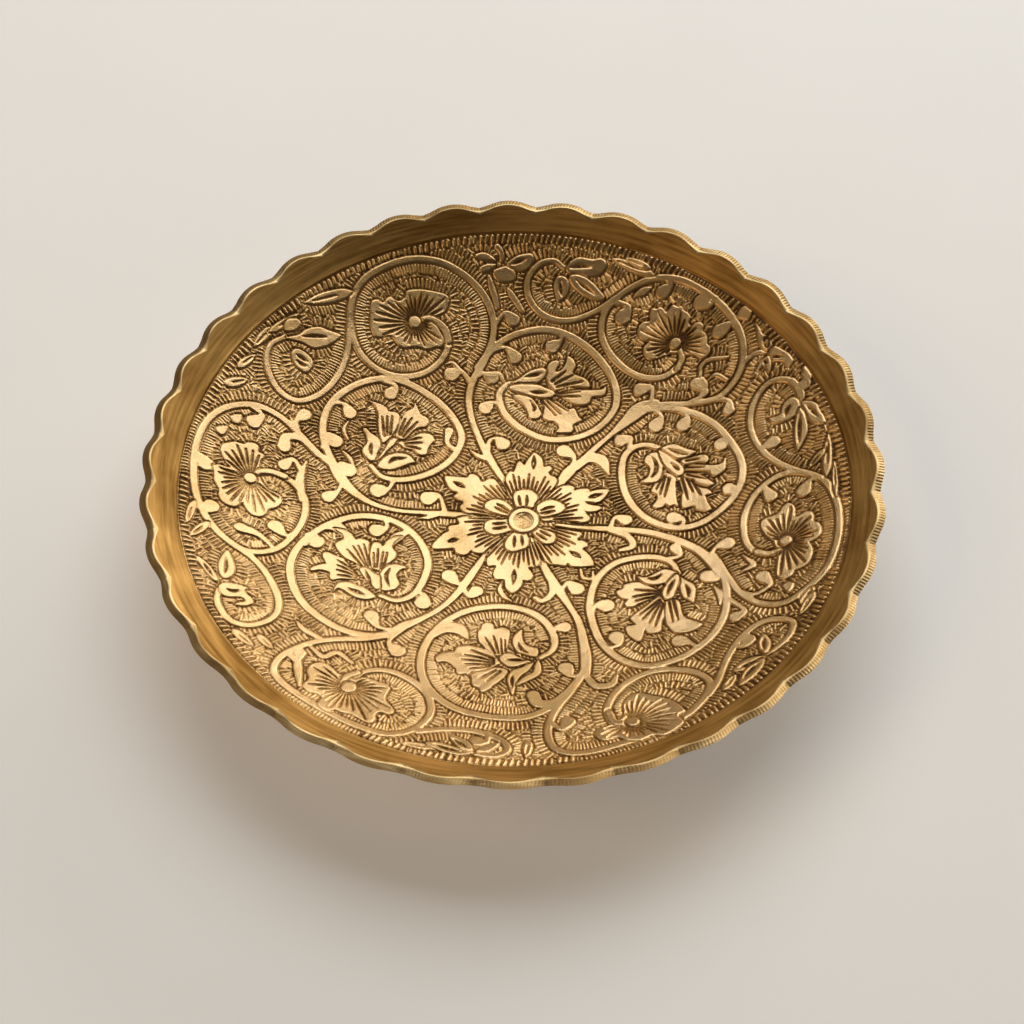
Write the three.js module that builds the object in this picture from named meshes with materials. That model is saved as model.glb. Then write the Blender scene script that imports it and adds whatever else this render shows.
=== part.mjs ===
import * as THREE from 'three';

// Shallow brass dish with a scalloped, flared lip and a turned foot ring.
// Millimetres. The dish stands on z = 0, its axis is +Z and one lobe points along +X.

// Bowl
const overallDiameter = 178;
const dishDepth = 22.5;
const sheetThickness = 1.6;
const floorRadius = 13;

// Flared lip: a plain band that ends in lobes, each an arc, with a nearly level top edge
const lobeCount = 36;
const lobeArcRadius = 12.1;
const lipEdgeWidth = 1.85;
const bandWidth = 5.5;
const bandSlope = THREE.MathUtils.degToRad(36);

// Foot ring, soldered to a flat seat that is turned under the bowl
const tableClearance = 1.6;
const footSeatRadius = 36;
const footWall = 2.6;
const footFlare = 0.9;
const footChamfer = 0.4;
const seatMargin = 1.5;
const seatChamfer = 1.2;
const solderLeg = 0.8;

// Facets
const segmentsPerLobe = 6;
const bowlRings = 7;
const rimSegments = lobeCount * segmentsPerLobe;
const bowlSegments = rimSegments / 2;

// Levels and radii that follow from the sizes above
const floorHeight = tableClearance + sheetThickness;
const tipHeight = floorHeight + dishDepth;
const tipInnerRadius = overallDiameter / 2 - lipEdgeWidth;
const lobeCentreRadius = tipInnerRadius - lobeArcRadius;
const borderRadius = tipInnerRadius - bandWidth;
const borderHeight = tipHeight - bandWidth * Math.tan(bandSlope);
const seatInnerRadius = footSeatRadius - footWall - seatMargin;
const seatOuterRadius = footSeatRadius + seatMargin;

// Inside of the bowl: level floor, a wall that steepens outwards, then the straight band
function innerHeight(radius) {
  if (radius <= floorRadius) {
    return floorHeight;
  }
  if (radius <= borderRadius) {
    const rise = (radius - floorRadius) / (borderRadius - floorRadius);
    return floorHeight + (borderHeight - floorHeight) * rise * rise;
  }
  return borderHeight + (radius - borderRadius) * Math.tan(bandSlope);
}

function innerSlope(radius) {
  if (radius <= floorRadius) {
    return 0;
  }
  if (radius < borderRadius) {
    const span = borderRadius - floorRadius;
    return 2 * (borderHeight - floorHeight) * (radius - floorRadius) / (span * span);
  }
  return Math.tan(bandSlope);
}

// Underside, one sheet thickness away from the inside, measured square to the wall
function outerHeight(radius) {
  return innerHeight(radius) - sheetThickness * Math.hypot(1, innerSlope(radius));
}

// Distance from the dish's axis to a rim made of lobes, at an angle round the axis
function lobeReach(angle, arcRadius) {
  const pitch = 2 * Math.PI / lobeCount;
  const offset = angle - Math.round(angle / pitch) * pitch;
  const side = lobeCentreRadius * Math.sin(offset);
  return lobeCentreRadius * Math.cos(offset) + Math.sqrt(arcRadius * arcRadius - side * side);
}

// A ring of points round the axis. place(angle) gives its radius and height.
function ring(segments, place) {
  const points = [];
  for (let i = 0; i < segments; i += 1) {
    const angle = 2 * Math.PI * i / segments;
    const { radius, height } = place(angle);
    points.push(new THREE.Vector3(radius * Math.cos(angle), radius * Math.sin(angle), height));
  }
  return points;
}

function roundRing(segments, radius, height) {
  return ring(segments, () => ({ radius, height }));
}

// Skin over a list of rings, where a single point closes each end. Neighbouring rings have the
// same number of points, or one has twice as many as the other.
function skinRings(rings) {
  const positions = [];
  const index = [];
  const starts = rings.map((points) => {
    const start = positions.length / 3;
    points.forEach((point) => positions.push(point.x, point.y, point.z));
    return start;
  });
  for (let k = 0; k + 1 < rings.length; k += 1) {
    const countA = rings[k].length;
    const countB = rings[k + 1].length;
    const a = (i) => starts[k] + i % countA;
    const b = (i) => starts[k + 1] + i % countB;
    const steps = Math.max(countA, countB);
    for (let i = 0; i < steps; i += 1) {
      if (countA === 1) {
        index.push(a(0), b(i), b(i + 1));
      } else if (countB === 1) {
        index.push(a(i), b(0), a(i + 1));
      } else if (countA === countB) {
        index.push(a(i), b(i), b(i + 1), a(i), b(i + 1), a(i + 1));
      } else if (countA < countB) {
        const near = Math.ceil(i / 2);
        index.push(a(near), b(i), b(i + 1));
        if (i % 2 === 0) {
          index.push(a(near), b(i + 1), a(near + 1));
        }
      } else {
        const near = Math.ceil(i / 2);
        index.push(a(i), b(near), a(i + 1));
        if (i % 2 === 0) {
          index.push(a(i + 1), b(near), b(near + 1));
        }
      }
    }
  }
  const geometry = new THREE.BufferGeometry();
  geometry.setAttribute('position', new THREE.Float32BufferAttribute(positions, 3));
  geometry.setIndex(index);
  geometry.computeVertexNormals();
  return geometry;
}

// Radii evenly spaced from one radius to another, both ends included
function spread(from, to, count) {
  return Array.from({ length: count + 1 }, (_, i) => from + (to - from) * i / count);
}

function dishGeometry() {
  const rings = [[new THREE.Vector3(0, 0, floorHeight)]];
  spread(floorRadius, borderRadius, bowlRings).forEach((radius) => {
    rings.push(roundRing(bowlSegments, radius, innerHeight(radius)));
  });
  rings.push(ring(rimSegments, (angle) => {
    const radius = lobeReach(angle, lobeArcRadius);
    return { radius, height: innerHeight(radius) };
  }));
  rings.push(ring(rimSegments, (angle) => {
    const radius = lobeReach(angle, lobeArcRadius + lipEdgeWidth);
    return { radius, height: outerHeight(radius) };
  }));
  spread(borderRadius, seatOuterRadius + seatChamfer, bowlRings).forEach((radius) => {
    rings.push(roundRing(bowlSegments, radius, outerHeight(radius)));
  });
  rings.push(roundRing(bowlSegments, seatOuterRadius, seatHeight));
  spread(seatInnerRadius, floorRadius, 2).forEach((radius) => {
    rings.push(roundRing(bowlSegments, radius, outerHeight(radius)));
  });
  rings.push([new THREE.Vector3(0, 0, outerHeight(0))]);
  return skinRings(rings);
}

// Turned ring from a closed section of [radius, height] corners
function turnedGeometry(corners) {
  const section = [...corners, corners[0]].map(([radius, height]) => new THREE.Vector2(radius, height));
  return new THREE.LatheGeometry(section, bowlSegments).rotateX(Math.PI / 2);
}

const seatHeight = outerHeight(seatInnerRadius);
const footInnerRadius = footSeatRadius - footWall;
const footToeRadius = footSeatRadius + footFlare;

// The foot's outer wall flares from the seat down to the table
function footGeometry() {
  return turnedGeometry([
    [footInnerRadius + footChamfer, 0],
    [footToeRadius - footChamfer, 0],
    [footToeRadius, footChamfer],
    [footSeatRadius, seatHeight],
    [footInnerRadius, seatHeight],
    [footInnerRadius, footChamfer],
  ]);
}

// The solder fills the corner between the seat and the foot's outer wall
function solderGeometry() {
  const corner = new THREE.Vector2(footSeatRadius, seatHeight);
  const toe = new THREE.Vector2(footToeRadius, footChamfer);
  const down = toe.sub(corner).setLength(solderLeg).add(corner);
  return turnedGeometry([
    [down.x, down.y],
    [footSeatRadius + solderLeg, seatHeight],
    [footSeatRadius, seatHeight],
  ]);
}

function piece(name, geometry, look) {
  const mesh = new THREE.Mesh(geometry, new THREE.MeshStandardMaterial(look));
  mesh.name = name;
  return mesh;
}

const plate = new THREE.Group();
plate.add(
  piece('dish_body', dishGeometry(), { color: 0xb98f4a, roughness: 0.34, metalness: 1 }),
  piece('foot_ring', footGeometry(), { color: 0xa8803f, roughness: 0.42, metalness: 1 }),
  piece('solder_seam', solderGeometry(), { color: 0x8f8b82, roughness: 0.55, metalness: 1 }),
);

export default plate;
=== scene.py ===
import math
import random
import bpy
import numpy as np
from mathutils import Matrix, Vector


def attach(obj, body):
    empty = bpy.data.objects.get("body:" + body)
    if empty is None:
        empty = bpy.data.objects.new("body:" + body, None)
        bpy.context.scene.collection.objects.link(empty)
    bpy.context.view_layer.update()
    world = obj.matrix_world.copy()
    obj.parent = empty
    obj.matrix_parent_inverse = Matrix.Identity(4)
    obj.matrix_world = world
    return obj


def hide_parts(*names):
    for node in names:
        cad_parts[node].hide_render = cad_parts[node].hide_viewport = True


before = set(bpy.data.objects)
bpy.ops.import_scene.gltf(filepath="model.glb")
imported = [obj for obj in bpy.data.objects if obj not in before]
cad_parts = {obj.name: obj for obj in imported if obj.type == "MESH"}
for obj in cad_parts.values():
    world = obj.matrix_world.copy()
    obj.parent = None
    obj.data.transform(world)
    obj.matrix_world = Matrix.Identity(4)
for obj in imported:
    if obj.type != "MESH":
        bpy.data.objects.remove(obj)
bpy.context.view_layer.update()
mm = 0.001
print("frame loaded:", sorted(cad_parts))

# Sizes of the brass dish in millimetres, the same as in its CAD source
dish = {
    "overallDiameter": 178.0, "depth": 22.5, "sheet": 1.6, "floorRadius": 13.0,
    "lobes": 36, "lobeArc": 12.1, "lipWidth": 1.85, "bandWidth": 5.5, "bandSlope": 36.0,
    "clearance": 1.6, "footSeat": 36.0, "footWall": 2.6, "footFlare": 0.9, "footChamfer": 0.4,
    "seatMargin": 1.5, "seatChamfer": 1.2, "solderLeg": 0.8,
}
floorHeight = dish["clearance"] + dish["sheet"]
tipHeight = floorHeight + dish["depth"]
tipInner = dish["overallDiameter"] / 2 - dish["lipWidth"]
lobeCentre = tipInner - dish["lobeArc"]
borderRadius = tipInner - dish["bandWidth"]
bandRise = math.tan(math.radians(dish["bandSlope"]))
borderHeight = tipHeight - dish["bandWidth"] * bandRise
seatInner = dish["footSeat"] - dish["footWall"] - dish["seatMargin"]
seatOuter = dish["footSeat"] + dish["seatMargin"]


def innerHeight(r):
    wall = floorHeight + (borderHeight - floorHeight) * np.square(
        np.maximum(r - dish["floorRadius"], 0) / (borderRadius - dish["floorRadius"]))
    return np.where(r <= borderRadius, wall, borderHeight + (r - borderRadius) * bandRise)


def innerSlope(r):
    span = borderRadius - dish["floorRadius"]
    wall = 2 * (borderHeight - floorHeight) * np.maximum(r - dish["floorRadius"], 0) / span ** 2
    return np.where(r < borderRadius, wall, bandRise)


def outerHeight(r):
    return innerHeight(r) - dish["sheet"] * np.hypot(1, innerSlope(r))


# The lobes were filed by eye: a little unevenly spaced, and filled out where two of them meet
lobeLook = {
    "shift": ((0.0026, 0.0174), (-0.0099, -0.0035), (0.0005, 0.0057)), "turn": -0.0005, "meeting": 3.3,
}


def lobeOffset(angle):
    pitch = 2 * np.pi / dish["lobes"]
    uneven = lobeLook["turn"]
    for k, (c, s) in enumerate(lobeLook["shift"]):
        uneven = uneven + c * np.cos((k + 1) * angle) + s * np.sin((k + 1) * angle)
    evened = angle - uneven
    return evened - np.round(evened / pitch) * pitch


def valleyShare(angle):
    # 1 where two lobes meet, 0 along the rest of a lobe
    away = (np.pi / dish["lobes"] - np.abs(lobeOffset(angle))) * tipInner
    return np.clip(1 - away / lobeLook["meeting"], 0, 1) ** 2


def lobeReach(angle, arc):
    across = lobeCentre * np.sin(lobeOffset(angle))
    meet = np.pi / dish["lobes"]
    slope = np.tan(np.arcsin(lobeCentre * math.sin(meet) / arc) - meet)
    fill = 0.5 * slope * lobeLook["meeting"] * valleyShare(angle)
    return lobeCentre * np.cos(lobeOffset(angle)) + np.sqrt(arc ** 2 - across ** 2) + fill


# The chased pattern is first drawn flat, on a square canvas seen from above
canvas = {"pixel": 0.12, "reach": 84.0, "far": 3.0}
pixel = canvas["pixel"]
reach = canvas["reach"]
side = int(2 * reach / pixel) + 1
axisMm = (np.arange(side) * pixel - reach).astype(np.float32)
edge = np.full((side, side), canvas["far"], dtype=np.float32)     # distance outside a raised motif
veins = np.zeros((side, side), dtype=np.float32)                  # cuts in a motif
dashes = np.zeros((side, side), dtype=np.float32)                 # punched strokes on the ground
taken = np.zeros((side, side), dtype=bool)
sweeps = []                                                       # lines that the comb strokes follow


def curvePoint(a, b, c, d, t):
    # between b and c, on a smooth curve through all four
    return 0.5 * (2 * b + (c - a) * t + (2 * a - 5 * b + 4 * c - d) * t * t
                  + (3 * b - a - 3 * c + d) * t ** 3)


def smoothPath(points, step=0.5):
    p = np.asarray(points, dtype=float)
    if len(p) == 2:
        p = np.vstack([p[0], (p[0] + p[1]) / 2, p[1]])
    ext = np.vstack([2 * p[0] - p[1], p, 2 * p[-1] - p[-2]])
    out = []
    for a, b, c, d in zip(ext[:-3], ext[1:-2], ext[2:-1], ext[3:]):
        count = max(2, int(np.hypot(*(c - b)[:2]) / step) + 1)
        for t in np.linspace(0, 1, count, endpoint=False):
            out.append(curvePoint(a, b, c, d, t))
    out.append(ext[-2])
    return np.array(out)


def spreadRadii(points, radii):
    n = len(points)
    if np.isscalar(radii):
        return [radii] * n
    if len(radii) == n:
        return radii
    return np.interp(np.linspace(0, 1, n), np.linspace(0, 1, len(radii)), radii)


def canvasWindow(xLow, xHigh, yLow, yHigh):
    rows = slice(max(0, int((yLow + reach) / pixel)), min(side, int((yHigh + reach) / pixel) + 2))
    columns = slice(max(0, int((xLow + reach) / pixel)), min(side, int((xHigh + reach) / pixel) + 2))
    return rows, columns


def strokeDistance(x, y, ax, ay, bx, by, startRadius, endRadius):
    dx, dy = bx - ax, by - ay
    t = np.clip(((x - ax) * dx + (y - ay) * dy) / max(dx * dx + dy * dy, 1e-9), 0, 1)
    return np.hypot(x - ax - t * dx, y - ay - t * dy) - (startRadius + t * (endRadius - startRadius))


def brush(points, radii, margin):
    path = smoothPath(np.column_stack([np.asarray(points, float), spreadRadii(points, radii)]))
    top = path[:, 2].max() + margin
    rows, columns = canvasWindow(path[:, 0].min() - top, path[:, 0].max() + top,
                                 path[:, 1].min() - top, path[:, 1].max() + top)
    field = np.full((rows.stop - rows.start, columns.stop - columns.start), canvas["far"], np.float32)
    for (ax, ay, ar), (bx, by, br) in zip(path[:-1], path[1:]):
        w = max(ar, br) + margin
        r, c = canvasWindow(min(ax, bx) - w, max(ax, bx) + w, min(ay, by) - w, max(ay, by) + w)
        if r.stop <= r.start or c.stop <= c.start:
            continue
        d = strokeDistance(axisMm[None, c], axisMm[r, None], ax, ay, bx, by, ar, br)
        part = field[r.start - rows.start:r.stop - rows.start,
                     c.start - columns.start:c.stop - columns.start]
        np.minimum(part, d, out=part)
    return (rows, columns), field


def raiseShape(points, radii, outline=0.0):
    window, d = brush(points, radii, 2.0)
    if outline:
        edge[window] = np.maximum(edge[window], outline - d)
        veins[window] = np.where(d < outline, 0, veins[window])
    edge[window] = np.minimum(edge[window], d)
    sweeps.append((points, radii))


def closedPath(points, step=0.45):
    p = np.asarray(points, dtype=float)
    out = []
    for a, b, c, d in zip(np.roll(p, 1, 0), p, np.roll(p, -1, 0), np.roll(p, -2, 0)):
        for t in np.linspace(0, 1, max(2, int(np.hypot(*(c - b)) / step) + 1), endpoint=False):
            out.append(curvePoint(a, b, c, d, t))
    return np.array(out)


def fillShape(flat, outline):
    # flat list of x, y round the outline
    path = closedPath(np.reshape(flat, (-1, 2)))
    low, high = path.min(0) - 2, path.max(0) + 2
    window = canvasWindow(low[0], high[0], low[1], high[1])
    x, y = axisMm[None, window[1]], axisMm[window[0], None]
    d = np.full((y.size, x.size), canvas["far"], np.float32)
    inside = np.zeros((y.size, x.size), bool)
    for (ax, ay), (bx, by) in zip(path, np.roll(path, -1, 0)):
        np.minimum(d, strokeDistance(x, y, ax, ay, bx, by, 0, 0), out=d)
        if ay != by:
            inside ^= ((ay > y) != (by > y)) & (x < ax + (bx - ax) * (y - ay) / (by - ay))
    d = np.where(inside, -d, d)
    edge[window] = np.maximum(edge[window], outline - d)
    edge[window] = np.minimum(edge[window], d)
    veins[window] = np.where(d < outline, 0, veins[window])
    sweeps.append((np.vstack([path, path[:1]]), 0.0))


def cutLine(points, width):
    window, d = brush(points, width, 0.5)
    veins[window] = np.maximum(veins[window], np.clip(0.5 - d / 0.24, 0, 1))


def sinkShape(points, radii):
    window, d = brush(points, radii, 1.0)
    edge[window] = np.maximum(edge[window], -d)


# rosette: six leaves behind, six petals in front, and a boss with a dimple
rosette = {
    "x": 2.7, "y": -1.5, "bossRadius": 3.8, "dimpleRadius": 2.55, "dimpleDepth": 0.5,
    "veins": 66, "veinEnds": (14.6, 12.6, 13.7), "veinSolid": 1.1, "veinFrom": 7.4, "veinShortest": 1.1,
    "veinSide": 0.05,
    "veinWidth": (0.18, 0.28, 0.14), "slotWidth": (0.16, 0.34, 0.2), "eye": 0.58,
    "leaves": [
        [-1.2, 5.3, -1.4, 7.4, -2, 10.3, -1.8, 12.6, -0.8, 14.1, 0.1, 13.9, 0.5, 15.3, 1.1, 17, 2, 17.1,
         2.8, 16, 3.4, 17.4, 4.7, 19.3, 5.4, 20, 7.2, 18.3, 7.7, 16.2, 7.8, 15.5, 9.3, 15.8, 9.9, 14.5, 9,
         13.5, 9.7, 12.6, 10.7, 12.2, 11.1, 10.8, 10.5, 9.1, 8.8, 6.6, 7.8, 5.3],
        [7.4, 5.2, 10.1, 7.8, 12.6, 9.3, 14.7, 9.5, 15.5, 8.7, 15.3, 7.8, 16.3, 8.3, 18.6, 8.5, 19.3, 7.6,
         18.3, 6.9, 19.7, 7.6, 22, 8.1, 24.2, 7.7, 23, 5.3, 21.3, 3.9, 19.3, 4.1, 18, 4.1, 19.7, 3.3, 21.8,
         2.8, 22.2, 2, 20.9, 1.2, 18.8, 1, 17.9, 1.3, 18.6, 0.3, 19.3, -1.3, 18, -2.2, 15.5, -2, 13.4, -1.3,
         10.9, -1.4, 7.2, -1.3],
        [-2, 5.5, -2.8, 8, -3.7, 9.9, -4.9, 11.6, -6.6, 11.4, -7.4, 10.7, -8.2, 10.9, -8.7, 12, -9.9, 13,
         -11.2, 12.8, -11.6, 12, -12.4, 12, -14.9, 12.2, -17.2, 12.2, -17.4, 11.2, -16.6, 9.1, -15.3, 7.6,
         -14, 7, -15, 5.9, -14, 4.8, -12.5, 4, -13.4, 2.6, -12.6, 1.2, -11.2, 0.5, -9.5, 0.3, -7.8, 0.1,
         -4.9, -0.1],
        [-4.9, -0.4, -7.8, -0.5, -10.3, -0.5, -12.4, -0.5, -13.9, -1.1, -13.4, -2.6, -14.3, -3, -15.5, -3.2,
         -16.2, -4.3, -15.8, -4.9, -17, -5.7, -18.7, -7.6, -19.9, -9.7, -19.5, -10.7, -17.4, -10.7, -14.5,
         -10.4, -14.3, -10.8, -13.9, -11.8, -12, -12.4, -10.8, -11.8, -10.1, -10.8, -9.5, -11.5, -7.6,
         -11.8, -5.8, -11.1, -4.9, -10.1, -4.3, -8.6, -3, -6.4],
        [-1.6, -6.4, -2.6, -7.4, -4.5, -9.7, -6, -12.2, -6.4, -14.3, -5.8, -15.7, -4.1, -15.5, -4.5, -16.8,
         -4.7, -18.4, -3.9, -19.7, -2.2, -19.7, -1.9, -20.2, -1.6, -22.2, -0.3, -23.8, 0.7, -23.6, 2, -22.2,
         2.6, -20.5, 2.5, -19.8, 3.2, -20.1, 4.5, -19.9, 5.1, -18.4, 4.5, -17, 3.9, -16, 5.1, -15.9, 6.3,
         -15.5, 6.8, -13.8, 6.3, -11.3, 5.7, -8.8, 4.8, -6.8],
        [5.3, -6.6, 6.6, -10.4, 7.3, -13.3, 9.3, -14.9, 11.3, -15.3, 13, -15.6, 13.6, -14.7, 14.2, -15.6,
         16, -15.9, 19.5, -15.8, 19.9, -15.3, 19.5, -13.4, 18.2, -11.3, 17.2, -10.3, 18.4, -9.7, 18.4, -8.6,
         17.2, -7.6, 16, -7.6, 16.6, -6.7, 17.2, -5.9, 16.5, -4.9, 14.7, -4.5, 12.6, -4.3, 10.5, -4, 7.2,
         -3.8]],
    "eyes": [[5.3, 18.7, 5.2, 16.5, 5.1, 14.7], [19, 5.5, 20.5, 6, 22.4, 6.6],
             [-12.2, 8.7, -13.5, 9.5, -15.1, 10.3],
             [-13.5, -7.6, -14.7, -7.8, -16, -8.4], [0.5, -16.7, 0.4, -18.8, 0.1, -20.9],
             [14, -11.1, 15.5, -12, 16.7, -13]],
    "petals": [
        [1.1, 2.4, 0.1, 4.9, 0.3, 7, 1.8, 8, 3.6, 8.3, 5.3, 7.4, 6.3, 5.5, 5.5, 3.7, 4.7, 2.2],
        [5.9, 1.8, 6.3, 3.3, 8, 4.5, 10.1, 4.9, 12.2, 3.9, 13, 2.4, 12.2, 1, 9.7, -0.1, 7.6, -0.5, 6.4,
         -0.3],
        [0.2, 1.6, -1.6, 4.1, -3.7, 5.1, -5.5, 4.9, -7, 3.7, -7.2, 2.4, -5.8, 1.2, -4.1, 0.5, -2, -0.1,
         -0.8, 0],
        [-1, -1.2, -2.8, -1.3, -5.3, -1.3, -6.8, -2.2, -7.2, -3.8, -6.6, -5.1, -4.9, -6.1, -3.3, -5.9, -1.6,
         -5.3, -0.4, -4.4],
        [0.6, -5, -1.2, -6.8, -2, -8.8, -1.6, -10.5, 0.1, -11.3, 2.2, -10.6, 3.6, -9.9, 4, -8.4, 3.8, -6.8,
         3.1, -5.2],
        [4.6, -4.4, 5.1, -5.9, 6.8, -7.8, 8.4, -8.8, 10.1, -8.4, 10.7, -6.8, 10.1, -5.3, 8, -4.5, 6, -3.6]],
    "slots": [[1.5, 5.9, 1.6, 4.6, 1.9, 3.2], [3.5, 6.1, 3.5, 4.6, 3.4, 3], [7, 1.5, 8.6, 2.3, 10.3, 2.7],
              [7, 0.6, 8.7, 0.9, 10.4, 1.4], [-3.9, 3.4, -2.4, 2.6, -0.9, 1.3],
              [-4.4, 2.4, -3, 1.6, -1.3, 0.8],
              [-4.9, -2.7, -3.4, -2.6, -1.8, -2.4], [-4.9, -4.2, -3.2, -4, -1.6, -3.6],
              [0.5, -6.6, 0.4, -8, 0.3, -9.6],
              [2.2, -6.4, 2.3, -7.8, 2.4, -9.1], [6, -5.7, 7.2, -6.6, 8.3, -7.4],
              [6.9, -4.9, 8.1, -5.6, 9.3, -6.3]],
}

mainStems = [
    ([(-0.5, 8), (-3.5, 13), (-6.6, 19), (-9, 24.5), (-11, 30.5), (-11.7, 36), (-10.8, 41), (-8.5, 45.5),
      (-6, 51)], [0.5, 1.1, 0.8, 0.9, 1.0, 0.9]),
    ([(10.5, 8), (14, 13.5), (17, 16.8), (21, 20.8), (25, 24.5), (28.8, 28), (32.5, 31.2), (36.5, 32.5)],
     [0.7, 1.5, 0.8, 0.8, 0.8, 1.5, 2.1, 1.2]),
    ([(11, -2.9), (16, -3.6), (22, -4.2), (28, -5), (34, -6.5), (40, -9.5), (45, -13.5), (48, -18),
      (49.5, -22)], [0.5, 0.6, 0.9, 0.9, 1.0, 1.1, 1.4, 1.0]),
    ([(6.5, -12), (8.3, -17), (11, -22.5), (13.7, -28), (15.8, -33), (16.8, -39), (17.3, -45), (17, -50)],
     [0.5, 1.0, 1.2, 0.8, 0.9, 1.1, 1.3, 1.2]),
    ([(-6, -11), (-9, -16.5), (-12.5, -23), (-16.5, -28.5), (-21.5, -32.8), (-25.5, -35.6), (-28.5, -38.8)],
     [0.5, 1.0, 1.0, 0.8, 0.9, 1.3, 1.4]),
    ([(-9, -0.3), (-15, 0.2), (-22, 0.4), (-29, 0.6), (-35, 2), (-40, 5), (-43.5, 9), (-46, 13.5)],
     [0.4, 1.0, 0.7, 0.7, 0.8, 1.2, 1.5, 1.2]),
]

innerRings = [
    [(-9.5, 45), (-6, 50), (-1, 54), (6, 55.8), (12, 55), (18, 51.5), (23, 46), (26, 40), (26.6, 34),
     (24.5, 29.5), (20.5, 26), (15, 24), (9, 23.9), (4, 26), (0, 29), (-3, 33), (-3.8, 37.5), (-1.5, 40.5),
     (1.5, 40.8)],
    [(33, 31), (40, 30.5), (46, 28), (50.5, 24.3), (54, 19), (56.5, 13), (57, 8), (55.5, 3), (52, -1.5),
     (47, -5), (42, -6), (37, -4.6), (32, -0.7), (28.6, 5), (27.4, 11), (28, 17), (30.5, 20), (34, 20.5),
     (37.5, 19)],
    [(48.5, -16), (50.3, -22), (50.6, -30), (49, -37), (45, -43), (39, -47.3), (32, -49), (26, -46.5),
     (21.5, -41), (19.2, -34), (18.6, -27), (20.5, -20), (24.5, -15.6), (29.5, -14), (35, -14.3),
     (38.5, -16.5), (40, -20)],
    [(17, -48.5), (14.5, -53.5), (11, -58.5), (7, -62.3), (2, -64.3), (-5, -64), (-12, -61.8), (-17, -57.8),
     (-20.3, -52), (-21, -45), (-19, -38), (-15, -32.5), (-9, -29), (-2, -28), (4, -29.5), (8, -33),
     (10, -38), (9.5, -42), (6.5, -44.5)],
    [(-27.5, -38), (-33, -39.6), (-39, -39), (-45, -36), (-50, -31), (-52.6, -25), (-53, -19),
     (-50.6, -12.5), (-46, -7), (-40, -3), (-34, -2), (-28, -3.6), (-23.3, -8), (-20.8, -14),
     (-21.2, -19.5), (-23.5, -25), (-27.5, -27.6), (-31.5, -26.6)],
    [(-45.5, 13), (-48, 19), (-48.3, 25), (-46.5, 30.5), (-42.5, 35.3), (-37, 38.7), (-31, 39.8), (-25, 38),
     (-19, 34), (-15, 29), (-13.3, 24), (-14.8, 19), (-18, 15), (-22.5, 12), (-28, 10.2), (-33, 10.5),
     (-36, 13.5)],
]

pansyRings = [
    [(34, 31.8), (39, 31.8), (45, 31), (52, 31.2), (56.5, 35), (58.7, 40), (58.8, 46), (57, 51.5),
     (53.5, 57), (49, 61.5), (44, 65), (38.5, 66.6), (33, 66), (28, 63.5), (24, 59.5), (23, 54), (25, 48.5),
     (29, 43.5), (34, 40.3), (39, 39.8), (42.8, 42.5), (43.8, 46), (42.3, 48)],
    [(49.5, -18), (51.5, -24), (54, -29.5), (58, -33.6), (63, -35), (68, -32.5), (73, -27.5), (76.3, -20),
     (77.6, -12), (77.2, -5.5), (75, 0.3), (70, 4.3), (65, 4.4), (60.3, 1.3), (57, -4), (56, -10),
     (57, -15.3), (60.3, -18.5), (63.5, -18.3), (65.5, -16)],
    [(17, -49), (13.5, -56), (10, -62), (8.3, -69), (10, -75), (16, -76.7), (25, -74), (33, -70.3),
     (39.5, -66), (43.8, -60.5), (44.5, -56), (41, -52.3), (35, -50.7), (29, -52.2), (24, -56.5),
     (21.6, -62.5), (23, -67.5), (26.5, -67.5)],
    [(-28.5, -38.8), (-34, -40.8), (-40, -42), (-46, -44.5), (-51, -49), (-53.3, -54), (-52, -58),
     (-47.5, -62), (-41, -66.3), (-34, -70), (-27, -71.8), (-21.5, -69.5), (-18, -64), (-19, -57.5),
     (-23, -53), (-28.5, -50.6), (-33.5, -51.8), (-36.8, -56)],
    [(-45.5, 12), (-50, 15.5), (-54, 19.5), (-59, 23.3), (-65, 24.8), (-71, 22.5), (-75.3, 17.5),
     (-77.4, 10.5), (-77.6, 3), (-76.4, -5), (-73.5, -11.5), (-69, -16.5), (-63.5, -19.2), (-57.5, -17.3),
     (-53.5, -12), (-51.2, -5.5), (-51.5, 0.5), (-54.8, 4.8), (-59.5, 6.4), (-63.5, 5)],
    [(-8.5, 46), (-6, 52), (-5.5, 58), (-7.5, 64), (-12, 69), (-19, 72.6), (-27, 72.8), (-34, 70),
     (-39.5, 65.8), (-42.5, 60), (-42.8, 53), (-40.5, 46.5), (-36, 42.3), (-30, 40.8), (-24, 42.2),
     (-19.5, 46), (-17.3, 51), (-18.5, 55.3), (-22.5, 57.8), (-26.5, 57)],
]

leafRings = [
    [(27, 63), (22, 60.2), (16, 58.2), (11, 58.4), (6.5, 60.8), (3.7, 65), (3.6, 69.5), (6.5, 73),
     (10.5, 73.8), (13.5, 71.5)],
    [(70, 4.5), (65.5, 8.5), (61.5, 14), (59.6, 21), (60.8, 27.5), (64.5, 32), (69, 31.8), (71.6, 27.5),
     (71.7, 23.5)],
    [(44, -61), (46.3, -57), (49, -50), (52.5, -44), (57, -40.2), (61.5, -39.8), (64.3, -42), (63, -46),
     (60, -49), (57, -50.7)],
    [(-20.5, -70), (-14, -68.7), (-8, -69), (-2.5, -71.5), (-0.5, -75), (-3, -77.3), (-7.5, -76.8)],
    [(-66, -18.3), (-61, -21.7), (-57, -27), (-54.6, -33), (-55.3, -38.5), (-59.5, -42.3), (-64, -42.5),
     (-67.3, -38.5), (-68, -34), (-66.8, -29.8)],
    [(-43, 53), (-43.3, 45.5), (-45.3, 38.5), (-49.5, 32.3), (-55, 29), (-60, 31), (-63, 36.5),
     (-62.5, 42.5), (-59, 46)],
]

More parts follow.
